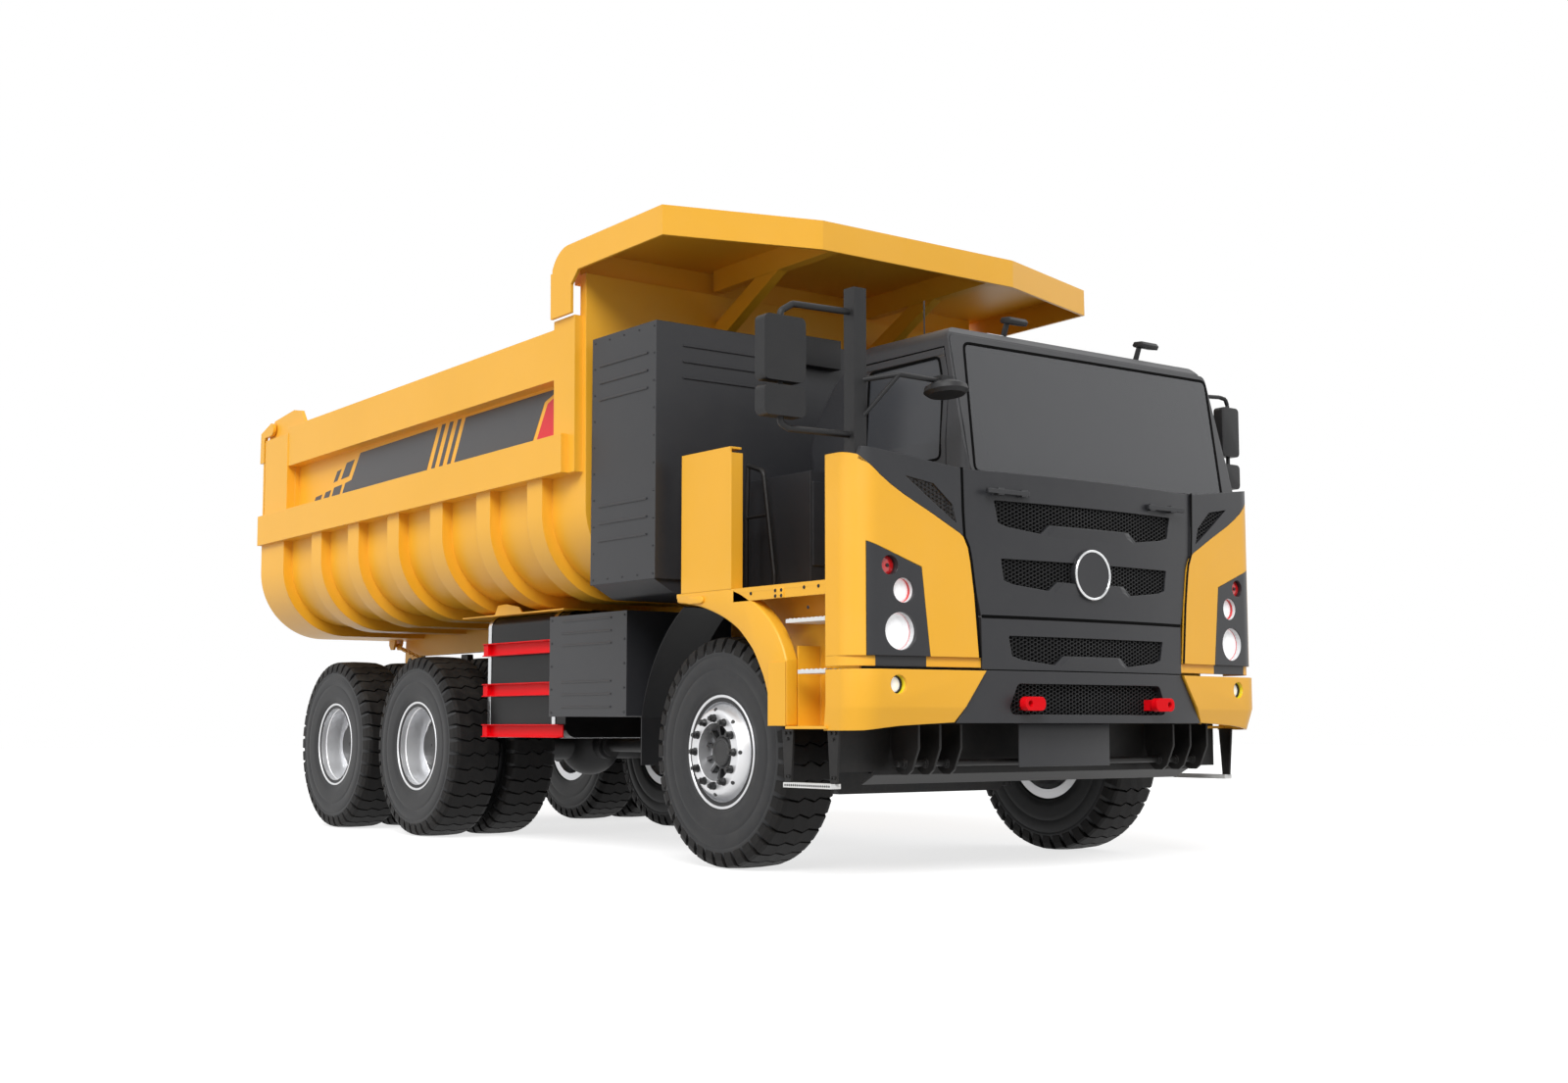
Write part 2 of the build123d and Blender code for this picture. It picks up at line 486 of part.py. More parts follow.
with BuildPart() as gate:
    points, radii = tub_section(RIB_X - 15, RIB_Z + 20, RIB_R - 20, BAND_Z[1])
    plate_y(points, GATE_Y, GATE_Y + 30, radii)
    for z in (2050, 2500, 2950, 3400):
        slab(-1420, 1420, GATE_Y + 25, GATE_Y + 110, z, z + 110)
    for x in (-1500, -500, 500, 1500):
        slab(x - 70, x + 70, GATE_Y + 25, GATE_Y + 105, 2050 if abs(x) > 600 else 1900, 3660)
    for s in (-1, 1):
        plate_x([(GATE_Y - FA, 3500), (GATE_Y - FA + 90, 3500), (GATE_Y - FA + 80, 3790), (6955, 3860),
                 (6955, 3740), (7090, 3738), (GATE_Y - FA, 3700)], s * (SKIN_X + 50), s * (SKIN_X + 80))
        rod((s * (SKIN_X + 50), *GATE_PIN), (s * (SKIN_X + 80), *GATE_PIN), 60)
        rod((s * (SKIN_X + 10), *GATE_PIN), (s * (SKIN_X + 60), *GATE_PIN), GATE_PIN_R)
save("tailgate", rake(gate.part))

# ---------------------------------------------------------------- hoist
STAGE_R = 66.0
RAM_R = 52.0
slope = Vector(0, EYE_Y - BASE_Y, EYE_Z - BASE_Z).normalized()
closed = sqrt((EYE_Y - BASE_Y) ** 2 + (EYE_Z - BASE_Z) ** 2)


def along(x, d):
    return (x, BASE_Y + slope.Y * d, BASE_Z + slope.Z * d)


with BuildPart() as barrels:
    for s in (-1, 1):
        x = s * HOIST_X
        rod(along(x, 45), along(x, closed - 130), BARREL_R)
        rod(along(x, 80), along(x, closed - 100), STAGE_R + SEAT, mode=Mode.SUBTRACT)
        rod((s * (HOIST_X - BARREL_R), BASE_Y, BASE_Z), (s * (HOIST_X + BARREL_R), BASE_Y, BASE_Z), 60)
        rod((s * (HOIST_X - 90), BASE_Y, BASE_Z), (s * (HOIST_X + 90), BASE_Y, BASE_Z),
            BASE_PIN_R + SEAT, mode=Mode.SUBTRACT)
save("hoist_barrels", barrels.part)

with BuildPart() as stages:
    for s in (-1, 1):
        x = s * HOIST_X
        rod(along(x, 88), along(x, closed - 105), STAGE_R)
        rod(along(x, 100), along(x, closed - 100), RAM_R + SEAT, mode=Mode.SUBTRACT)
save("hoist_stages", stages.part)

with BuildPart() as rams:
    for s in (-1, 1):
        x = s * HOIST_X
        rod(along(x, 110), along(x, closed - 80), RAM_R)
        rod(along(x, closed - 85), along(x, closed), 34)
        rod((s * (HOIST_X - 52), EYE_Y, EYE_Z), (s * (HOIST_X + 52), EYE_Y, EYE_Z), 48)
        rod((s * (HOIST_X - 88), EYE_Y, EYE_Z), (s * (HOIST_X + 88), EYE_Y, EYE_Z), EYE_PIN_R)
save("hoist_rods", rams.part)

# ================================================================ cabinets
BOX_X = 1916.0
BOX_Y = (416.0, 1233.0)
BOX_Z = (1885.0, 3625.0)
with BuildPart() as battery:
    plate_y([(-BOX_X, BOX_Z[0]), (BOX_X, BOX_Z[0]), (BOX_X, BOX_Z[1]), (-BOX_X, BOX_Z[1])],
            FA + BOX_Y[0], FA + BOX_Y[1])
    # skirt below with round lower corners
    plate_y([(-1740, 1790), (1740, 1790), (BOX_X - 4, BOX_Z[0] + 1), (-BOX_X + 4, BOX_Z[0] + 1)],
            FA + BOX_Y[0] + 20, FA + BOX_Y[1] - 20, (90, 90, 0, 0))
    # pressed lines on the sides and on the front
    for z in (2180, 2300, 2420, 3170, 3290, 3410):
        for s in (-1, 1):
            slab(s * (BOX_X - 1), s * (BOX_X + 8), FA + 520, FA + 1130, z, z + 14)
    for z in (3250, 3360, 3470):
        slab(-1700, -760, FA + BOX_Y[0] - 8, FA + BOX_Y[0] + 1, z, z + 14)
    # feet on the rails
    for s in (-1, 1):
        slab(s * 395, s * 465, FA + 560, FA + 1100, RAIL_Z1 + SEAT, 1795)
save("battery_cabinet", battery.part)

CAB2_X = (750.0, 1650.0)
LINER_R = 1140.0              # outside of the mudguard over the front wheel
LINER_GAP = 35.0              # from there to the side cabinet behind it
CAB2_Y = (LINER_R + LINER_GAP, 2245.0)
CAB2_Z = (980.0, 1722.0)
with BuildPart() as side_cab:
    for s in (-1, 1):
        slab(s * CAB2_X[0], s * CAB2_X[1], FA + CAB2_Y[0], FA + CAB2_Y[1], *CAB2_Z)
        for z in (62, 154, 245, 515, 603, 694):
            slab(s * (CAB2_X[1] - 1), s * (CAB2_X[1] + 6), FA + CAB2_Y[0] + 206, FA + CAB2_Y[1] - 175,
                 CAB2_Z[0] + z, CAB2_Z[0] + z + 12)
        slab(s * (RAIL_OUT + SEAT), s * (CAB2_X[0] + 5), FA + 1400, FA + 1480, 1100, 1350)
        slab(s * (RAIL_OUT + SEAT), s * (CAB2_X[0] + 5), FA + 1950, FA + 2030, 1100, 1350)
save("side_cabinets", side_cab.part)

TANK_X = (560.0, 1501.0)
TANK_Y = (2255.0, 3480.0)
TANK_Z = (825.0, 1780.0)
with BuildPart() as tanks:
    for s in (-1, 1):
        plate_y([(s * TANK_X[0], TANK_Z[0]), (s * TANK_X[1], TANK_Z[0]), (s * TANK_X[1], TANK_Z[1]),
                 (s * TANK_X[0], TANK_Z[1])], FA + TANK_Y[0], FA + TANK_Y[1], 90)
        for y in (2450, 3250):
            slab(s * (RAIL_OUT + SEAT), s * (TANK_X[0] + 5), FA + y, FA + y + 80, 1100, 1350)
save("side_tanks", tanks.part)

GUARD_X = (1535.0, 1590.0)
with BuildPart() as guards:
    for s in (-1, 1):
        for z in (870, 1225, 1480):
            plate_y([(s * GUARD_X[0], z), (s * GUARD_X[1], z), (s * GUARD_X[1], z + 70),
                     (s * GUARD_X[0], z + 70), (s * GUARD_X[0], z + 62), (s * (GUARD_X[1] - 8), z + 62),
                     (s * (GUARD_X[1] - 8), z + 8), (s * GUARD_X[0], z + 8)], FA + 2262, FA + 3500)
        for y in (2420, 3300):
            slab(s * (TANK_X[1] + SEAT), s * GUARD_X[0], FA + y, FA + y + 60, 880, 1540)
save("side_guards", guards.part)

with BuildPart() as covers:
    for s in (-1, 1):
        slab(s * 1300, s * 1553, FA + 2215, FA + 3840, TANK_Z[1] + SEAT, TANK_Z[1] + 12)
        plate_x([(2850, TANK_Z[1] + 10), (3290, TANK_Z[1] + 10), (3240, 1862), (3100, 1868),
                 (2900, 1835)], s * 1540, s * 1553)
save("tank_covers", covers.part)

# ================================================================ fenders
DECK_Z = 1775.0
FEND_IN = 1710.0
with BuildPart() as fender:
    # side, inner edge of the deck, top of the wall behind the steps
    for s, deck_in, wall_top in ((-1, 905, DECK_Z - 20), (1, CAB_X1 + PANEL_GAP, CAB_Z0 - 20)):
        # flare round the wheel
        plate_x([(310, DECK_Z), (-300, DECK_Z), (-423, 1700), (-660, 1609), (-811, 1452), (-880, 1319),
                 (-880, 912), (-762, 912), (-641, 1217), (-610, 1235), (-539, 1371), (-350, 1531),
                 (-25, 1659), (310, 1715)], s * FASCIA_X, s * FEND_IN)
        # deck, compartment behind the steps and its floor
        slab(s * FASCIA_X, s * deck_in, FA - 1262, FA + 310, DECK_Z - 30, DECK_Z)
        slab(s * FASCIA_X, s * (FASCIA_X - 12), FA - 1262, FA - 400, DECK_Z - 75, DECK_Z)
        slab(s * 1545, s * 1530, FA - 1262, FA - 800, 900, wall_top)
        slab(s * FASCIA_X, s * 1530, FA - 880, FA - 868, 900, 1400)
        slab(s * FASCIA_X, s * 1530, FA - 1262, FA - 870, 895, 915)
        # carrier to the rail
        slab(s * (RAIL_OUT + SEAT), s * 1535, FA - 1010, FA - 950, 1330, 1390)
    slab(-1000, -905, FA - 1010, FA - 950, 1380, DECK_Z - 20)
    slab(-1535, -1000, FA - 1010, FA - 950, DECK_Z - 80, DECK_Z - 20)
save("fenders", fender.part)

with BuildPart() as steps:
    for y0, y1, z in ((-1243, -771, 1535), (-1243, -890, 1225)):
        slab(-1800, -1545.3, FA + y0, FA + y1 - 90, z, z + 24)
    slab(-1800, -1728, FA - 1300, FA - 835, 545, 575)
    mirror(about=Plane.YZ)
save("step_treads", steps.part)

with BuildPart() as ladders:
    for y in (-845, -1285):
        plate_x([(y - 55, 894.7), (y + 55, 894.7), (y + 30, 575.3), (y - 30, 575.3)], -1772, -1757)
    mirror(about=Plane.YZ)
save("ladders", ladders.part)

with BuildPart() as walkway:
    slab(-FASCIA_X, -FASCIA_X + 14, FA - 292, FA + 244, DECK_Z + SEAT, 2690)
    slab(-FASCIA_X, -1722, FA - 306, FA - 292, DECK_Z + SEAT, 2650)
    slab(-FASCIA_X, -1722, FA + 244, FA + 258, DECK_Z + SEAT, 2690)
    slab(-FASCIA_X, -1722, FA - 292, FA + 258, 2676, 2690)
save("walkway_panel", walkway.part)

with BuildPart() as low_box:
    slab(-1243, -905, FA - 396, FA + 287, DECK_Z + SEAT, 2570)
    slab(-1225, -925, FA - 404, FA - 395, 1950, 2500)
save("lower_cabinet", low_box.part)

with BuildPart() as handrail:
    tube([(-1346, FA + 150, 2655), (-1346, FA - 20, 2600), (-1346, FA - 141, 1900),
          (-1346, FA - 141, DECK_Z + SEAT)], 16, 60)
    tube([(-1346, FA + 150, 2655), (-1346, FA + 170, 2300), (-1346, FA + 170, DECK_Z + SEAT)], 16, 60)
    rod((-1346, FA - 70, 2300), (-1346, FA + 170, 2300), 11)
save("handrail", handrail.part)

LINER_X = 1560.0
LINER_W = 390.0
STAY_Z = (1080.0, 1140.0)     # the stay that carries the mudguard off the frame
with BuildPart() as liners:
    with BuildSketch(Plane(origin=(-LINER_X, FA, AXLE_Z), x_dir=(0, 1, 0), z_dir=(1, 0, 0))) as arc:
        Circle(LINER_R)
        Circle(LINER_R - 6, mode=Mode.SUBTRACT)
        with Locations((LINER_R, LINER_R / 2 + 100)):
            Rectangle(1100, LINER_R - 220, mode=Mode.INTERSECT)
    extrude(arc.sketch, amount=LINER_W)
    slab(-LINER_X, -LINER_X + LINER_W, FA + LINER_R - 28, FA + LINER_R - 18, 640, AXLE_Z + 225)
    slab(-LINER_X + LINER_W - 10, -RAIL_OUT - SEAT, FA + LINER_R - 60, FA + LINER_R - 12, *STAY_Z)
    mirror(about=Plane.YZ)
save("mudguards", liners.part)

# ================================================================ front
PANEL_IN = 10.0               # hood and lower panel lie behind the bumper's face
PANEL_T = 35.0
BUMPER_T = 60.0
HOOD_Z = (1575.0, 2462.0)
LOW_Z = (1252.0, 1569.0)
BUMP_Z = (930.0, 1246.0)
SHELVES = (433, 374, 330)     # half widths of the shelves in the upper three openings
BOSS_R = 165.0
BOSS_Z = 1862.0
grille_rows = [  # half width above, half width below, bottom, top
    (801, 756, 2098, 2286), (752, 715, 1746, 1930), (699, 658, 1287, 1460), (640, 722, 982, 1170)]


def opening(top, bottom, z0, z1, shelf):
    """Grille opening: cut lower corners and a raised shelf, given by half width at its foot, in the middle."""
    half = [(top, z1), (bottom + 15, z0 + 50), (bottom - 60, z0 + 28), (shelf, z0), (shelf - 75, z0 + 58)]
    return half + [(-x, z) for x, z in reversed(half)]


def trapezium(top, bottom, z0, z1, grow=0.0):
    return [(-top - grow, z1 + grow), (-bottom - grow, z0 - grow), (bottom + grow, z0 - grow),
            (top + grow, z1 + grow)]


with BuildPart() as hood:
    plate_y([(-1040, HOOD_Z[1]), (-1031, 2052), (-972, 1955), (-934, 1700), (-905, HOOD_Z[0]),
             (905, HOOD_Z[0]), (934, 1700), (972, 1955), (1031, 2052), (1040, HOOD_Z[1])], FA - 1750, FA - 1400)
    for row, shelf in zip(grille_rows[:2], SHELVES):
        plate_y(opening(*row, shelf), FA - 1800, FA - 1300, 8, mode=Mode.SUBTRACT)
    bow(PANEL_IN, PANEL_T)
    # plain round boss in the middle, over the second opening
    rod((0, FA - 1706, BOSS_Z), (0, FA - FRONT_REACH + PANEL_IN + PANEL_T, BOSS_Z), BOSS_R)
    # hinge brackets on the cab's front, and a grab bar on two feet near each upper corner
    for s in (-1, 1):
        bar_y = front_y(720)
        slab(s * 545, s * 895, bar_y - 36, bar_y - 12, 2322, 2350)
        for x in (560, 760):
            slab(s * x, s * (x + 50), bar_y - 34, bar_y + 24, 2314, 2358)
        slab(s * 480, s * 560, FA - 1660, FA - 1530 - SEAT, 2330, 2390)
        slab(s * 480, s * 560, FA - 1660, FA - 1530 - SEAT, 1640, 1700)
save("hood", hood.part)

with BuildPart() as low_panel:
    plate_y([(-905, LOW_Z[1]), (-900, LOW_Z[0]), (900, LOW_Z[0]), (905, LOW_Z[1])], FA - 1750, FA - 1400)
    plate_y(opening(*grille_rows[2], SHELVES[2]), FA - 1800, FA - 1300, 8, mode=Mode.SUBTRACT)
    bow(PANEL_IN, PANEL_T)
    for s in (-1, 1):
        slab(s * 395, s * 455, FA - 1665, RAIL_FRONT - SEAT, 1254, 1271)
save("lower_panel", low_panel.part)

with BuildPart() as bumper:
    plate_y([(-880, BUMP_Z[1]), (-1100, BUMP_Z[0]), (1100, BUMP_Z[0]), (880, BUMP_Z[1])],
            FA - 1750, FA - 1300)
    plate_y(trapezium(*grille_rows[3]), FA - 1800, FA - 1300, 40, mode=Mode.SUBTRACT)
    bow(0, BUMPER_T)
    for s in (-1, 1):
        slab(s * 300, s * 420, FA - 1660, RAIL_FRONT - 40 - 2 * SEAT, 1190, 1238)
save("bumper", bumper.part)

with BuildPart() as grilles:
    for rows, depth in ((grille_rows[:3], PANEL_IN + PANEL_T), (grille_rows[3:], BUMPER_T)):
        with BuildPart(mode=Mode.PRIVATE) as mesh:
            for row in rows:
                plate_y(trapezium(*row, grow=14), FA - 1800, FA - 1400)
            bow(depth + SEAT, 14)
        add(mesh.part)
    for s in (-1, 1):
        slab(s * 515, s * 585, FA - 1800, FA - 1400, 1005, 1085, mode=Mode.SUBTRACT)
save("grilles", grilles.part)

with BuildPart() as hooks:
    for s in (-1, 1):
        slab(s * 520, s * 580, FA - 1756, RAIL_FRONT - 40 - 2 * SEAT, 1010, 1080)
        eye = [(s * 500, 1005), (s * 672, 1005), (s * 672, 1090), (s * 500, 1090)]
        plate_y(eye, FA - 1770, FA - 1720, 38)
        rod((s * 628, FA - 1800, 1047), (s * 628, FA - 1700, 1047), 19, mode=Mode.SUBTRACT)
save("tow_hooks", hooks.part)


# lamps: place across, height, radius, face behind the front axle
LAMPS = [(-1495, 1468, 112, -1580), (-1565, 1708, 74, -1572), (-1700, 1838, 52, -1541),
         (-1520, 1155, 56, -1597)]


def lamp_holes():
    for x, z, r, y in LAMPS:
        rod((x, FA - 1800, z), (x, FA - 1500, z), r + SEAT, mode=Mode.SUBTRACT)


def corner(z0, z1, lead, thick, radius):
    """L-shaped wrap round the right-hand front corner."""
    for d, mode in ((0, Mode.ADD), (thick, Mode.SUBTRACT)):
        plate_z([(-820 if d == 0 else -700, -1652 - lead + d), (-FASCIA_X + d, -1545 - lead + d),
                 (-FASCIA_X + d, -1262 + d * 4), (-820 + d * 8, -1262 + d * 4)], z0 - d, z1 + d,
                (0, radius - d, 0, 0), mode=mode)


CURVE = [(-916, 1322), (-948, 1700), (-985, 1960), (-1043, 2050), (-1260, 2170), (-1471, 2272),
         (-1680, 2420)]
POD = [(-1800, 1322), (-1334, 1322), (-1395, 1850), (-1800, 1975)]
with BuildPart() as corners:
    with BuildPart(mode=Mode.PRIVATE) as upper:
        corner(1322, 2560, 0, 18, 190)
        plate_y([(-1900, 1322), *CURVE, (-1900, 2555)], FA - 1800, FA - 1200, mode=Mode.INTERSECT)
        plate_y(POD, FA - 1800, FA - 1500, mode=Mode.SUBTRACT)
    with BuildPart(mode=Mode.PRIVATE) as lower:
        corner(888, 1246, 20, 18, 190)
        plate_y([(-1900, 888), (-1106, 888), (-1106, BUMP_Z[0]), (-886, 1246), (-1900, 1246)],
                FA - 1800, FA - 1200, mode=Mode.INTERSECT)
        lamp_holes()
    add(upper.part)
    add(lower.part)
    mirror(about=Plane.YZ)
save("corner_panels", corners.part)

with BuildPart() as trims:
    corner(1322, 2560, 0, 18, 190)
    plate_y([(-1048, 2462), *[(x + 0.2, z + 0.4) for x, z in CURVE[3:]], (-1760, 2472), (-1745, 2550)],
            FA - 1800, FA - 1200, mode=Mode.INTERSECT)
    mirror(about=Plane.YZ)
save("corner_trims", trims.part)

with BuildPart() as pods:
    corner(1322, 1980, 0, 26, 190)
    plate_y([(POD[0][0] + SEAT, 1322), (POD[1][0] - SEAT, 1322), (POD[2][0] - SEAT, POD[2][1] - SEAT),
             (POD[3][0] + SEAT, POD[3][1] - SEAT)], FA - 1800, FA - 1500,
            mode=Mode.INTERSECT)
    lamp_holes()
    mirror(about=Plane.YZ)
save("lamp_pods", pods.part)

with BuildPart() as lamps:
    for x, z, r, y in LAMPS:
        rod((x, FA + y + 12, z), (x, FA + y + 38, z), r)
    # tail lamps on the ends of the rails
    slab(-RAIL_OUT, -RAIL_IN, RAIL_REAR + SEAT, RAIL_REAR + 50, 1130, 1320)
    mirror(about=Plane.YZ)
save("lamps", lamps.part)

# ================================================================ cab
SCREEN = [(-1530, 2420), (-1262, 3400)]       # windscreen plane in the side view


def cab_block(t):
    """The cab's outer form, drawn in by t for the inner face."""
    plate_x([(100 - t, CAB_Z0 + t), (100 - t, 2640), (30 - t, 2960), (-150 - t / 2, 3210 - t / 2),
             (-470, CAB_Z1 - t), (-1230, CAB_Z1 - t), (SCREEN[1][0] + t, SCREEN[1][1] - t),
             (SCREEN[0][0] + t, SCREEN[0][1]), (-1530 + t, CAB_Z0 + t)], CAB_X0 + t, CAB_X1 - t)


with BuildPart() as block:
    cab_block(0)
    plate_z([(CAB_X0, -1560), (CAB_X1, -1560), (CAB_X1, 150), (CAB_X0, 150)], 0, 4000, 130,
            mode=Mode.INTERSECT)
    plate_y([(CAB_X0, 1000), (CAB_X1, 1000), (CAB_X1, 2700), (CAB_X1 - 60, CAB_Z1),
             (CAB_X0 + 60, CAB_Z1), (CAB_X0, 2700)], FA - 1700, FA + 300, (0, 0, 0, 90, 90, 0),
            mode=Mode.INTERSECT)
with BuildPart() as cavity:
    cab_block(CAB_T)
    plate_z([(CAB_X0 + CAB_T, -1560), (CAB_X1 - CAB_T, -1560), (CAB_X1 - CAB_T, 150),
             (CAB_X0 + CAB_T, 150)], 0, 4000, 90, mode=Mode.INTERSECT)
    plate_y([(CAB_X0 + CAB_T, 1000), (CAB_X1 - CAB_T, 1000), (CAB_X1 - CAB_T, 2700),
             (CAB_X1 - 60 - CAB_T, CAB_Z1), (CAB_X0 + 60 + CAB_T, CAB_Z1), (CAB_X0 + CAB_T, 2700)],
            FA - 1700, FA + 300, mode=Mode.INTERSECT)
DOOR_Y = (-1300.0, -450.0)
DOOR_Z = (DECK_Z + 15, 3300.0)
DOOR = [(DOOR_Y[0], DOOR_Z[0]), (DOOR_Y[1], DOOR_Z[0]), (DOOR_Y[1], DOOR_Z[1]),
        (DOOR_Y[0] + 62, DOOR_Z[1]), (DOOR_Y[0], DOOR_Z[1] - 225)]
DOOR_IN = [(-1258, 2575), (-510, 2560), (-510, 3245), (-1205, 3250), (-1258, 3060)]
GLASS = [(-767, 3300), (-678, 2480), (1520, 2480), (1500, 3310)]


HINGE_Y = FA + DOOR_Y[0]
HINGE_R = 14.0
HINGE_Z = (1900.0, 2480.0)    # middles of the two hinges of each door
HINGE_H = 50.0                # the door's knuckle, with a lug of the pillar above and below


def hinge_rods(x, radius, reach, pillar, mode):
    for z in HINGE_Z:
        if pillar:
            for s in (-1, 1):
                rod((x, HINGE_Y, z + s * (HINGE_H / 2 + SEAT)), (x, HINGE_Y, z + s * reach), radius,
                    mode=mode)
        else:
            rod((x, HINGE_Y, z - reach), (x, HINGE_Y, z + reach), radius, mode=mode)


with BuildPart() as cab:
    add(block.part)
    add(cavity.part, mode=Mode.SUBTRACT)
    for x0, x1 in ((CAB_X0 - 60, CAB_X0 + 120), (CAB_X1 - 120, CAB_X1 + 60)):
        plate_x([(y + (PANEL_GAP if y > -800 else -PANEL_GAP), z + (-PANEL_GAP if z < 2000 else PANEL_GAP))
                 for y, z in DOOR], x0, x1, mode=Mode.SUBTRACT)
    for x in (CAB_X0, CAB_X1):
        hinge_rods(x, HINGE_R, 55, True, Mode.ADD)
        hinge_rods(x, HINGE_R + 2, HINGE_H / 2 + SEAT, False, Mode.SUBTRACT)
    plate_y(GLASS, FA - 1700, FA - 1150, 60, mode=Mode.SUBTRACT)
    plate_y([(-500, 2350), (1270, 2350), (1270, 2900), (-500, 2900)], FA - 60, FA + 160, 60,
            mode=Mode.SUBTRACT)
    # seams: roof above the doors, front behind the pillars, rear wall and floor
    for y, z0, z1 in ((DOOR_Y[0] - 40, 1000, DOOR_Z[1] + PANEL_GAP),
                      (DOOR_Y[1] + PANEL_GAP, 1000, DOOR_Z[1] + PANEL_GAP)):
        slab(-2000, 2000, FA + y - SEAT / 2, FA + y + SEAT / 2, z0, z1, mode=Mode.SUBTRACT)
    z = DOOR_Z[1] + PANEL_GAP
    slab(-2000, 2000, FA - 2000, FA + 400, z - SEAT / 2, z + SEAT / 2, mode=Mode.SUBTRACT)
save("cab_shell", cab.part)

with BuildPart() as glass:
    plate_y([(x + (SEAT if x < 0 else -SEAT), z + (SEAT if z < 3000 else -SEAT)) for x, z in GLASS],
            FA - 1700, FA - 1150, 60 - SEAT)
    plate_x([(SCREEN[0][0] + 10, SCREEN[0][1]), (SCREEN[1][0] + 10, SCREEN[1][1]),
             (SCREEN[1][0] + 20, SCREEN[1][1]), (SCREEN[0][0] + 20, SCREEN[0][1])], -1000, 1700,
            mode=Mode.INTERSECT)
    plate_y([(-500 + SEAT, 2350 + SEAT), (1270 - SEAT, 2350 + SEAT), (1270 - SEAT, 2900 - SEAT),
             (-500 + SEAT, 2900 - SEAT)], FA + 70, FA + 80, 60 - SEAT)
save("cab_glass", glass.part)

for side, x0, x1, g0, g1 in (("right", CAB_X0, CAB_X0 + CAB_T, CAB_X0 + 18, CAB_X0 + 26),
                             ("left", CAB_X1 - CAB_T, CAB_X1, CAB_X1 - 26, CAB_X1 - 18)):
    with BuildPart() as door:
        plate_x(DOOR, x0, x1)
        plate_x(DOOR_IN, x0 - 5, x1 + 5, 45, mode=Mode.SUBTRACT)
        add(block.part, mode=Mode.INTERSECT)
        hinge_x = x0 if side == "right" else x1
        hinge_rods(hinge_x, HINGE_R + 2, 57, False, Mode.SUBTRACT)
        hinge_rods(hinge_x, HINGE_R, HINGE_H / 2, False, Mode.ADD)
        # leaf that joins each knuckle to the door
        for z in HINGE_Z:
            slab(hinge_x, (x0 + x1) / 2, HINGE_Y, HINGE_Y + 40, z - HINGE_H / 2, z + HINGE_H / 2)
    save("door_" + side, door.part)
    with BuildPart() as pane:
        plate_x([(y + (SEAT if y < -900 else -SEAT), z + (SEAT if z < 2900 else -SEAT)) for y, z in DOOR_IN],
                g0, g1, 45 - SEAT)
        add(block.part, mode=Mode.INTERSECT)
    save("door_glass_" + side, pane.part)

FLOOR = CAB_Z0 + CAB_T + SEAT
SEATS = (950.0, -300.0)       # middles of the driver's and the passenger's seat
WHEEL_AT = (SEATS[0], FA - 950, FLOOR + 797)
with BuildPart() as interior:
    slab(-780, 1550, FA - 1460, FA + 40, FLOOR, FLOOR + 20)
    for x in SEATS:
        slab(x - 220, x + 220, FA - 640, FA - 140, FLOOR + 20 + SEAT, FLOOR + 320)
        slab(x - 260, x + 260, FA - 680, FA - 188, FLOOR + 320 + SEAT, FLOOR + 450)
        plate_x([(-188 + SEAT, FLOOR + 330), (-70, FLOOR + 330), (0, FLOOR + 1080), (-80, FLOOR + 1100)],
                x - 240, x + 240)
    # fascia below the windscreen
    plate_x([(-1440, FLOOR + 20 + SEAT), (-1330, FLOOR + 20 + SEAT), (-1150, FLOOR + 600),
             (-1180, FLOOR + 780), (-1440, FLOOR + 740)], -780, 1550)
    # steering column: shroud on the fascia, then the column with its wheel
    axis = Vector(0, 220, 150).normalized()
    foot = Vector(WHEEL_AT[0], FA - 1190, FLOOR + 634)
    rod(foot, foot + axis * 70, 52)
    rod(foot + axis * (70 + SEAT), Vector(*WHEEL_AT), 32)
    with Locations(Plane(origin=WHEEL_AT, z_dir=axis)):
        Torus(215, 16)
        Box(420, 40, 14)
        Cylinder(50, 30)
save("cab_interior", interior.part)

with BuildPart() as roof:
    for x in (-99, 1203):
        slab(x - 30, x + 30, FA - 1160, FA - 1090, CAB_Z1 + SEAT, CAB_Z1 + 40)
        slab(x - 60, x + 60, FA - 1175, FA - 1085, CAB_Z1 + 35, CAB_Z1 + 120)
    slab(-700, -380, FA + BOX_Y[0] - 80, FA + BOX_Y[0] - SEAT, 3450, 3660)
    rod((-700, FA - 910, CAB_Z1 + SEAT), (-700, FA - 910, CAB_Z1 + 240), 8)
save("roof_fittings", roof.part)

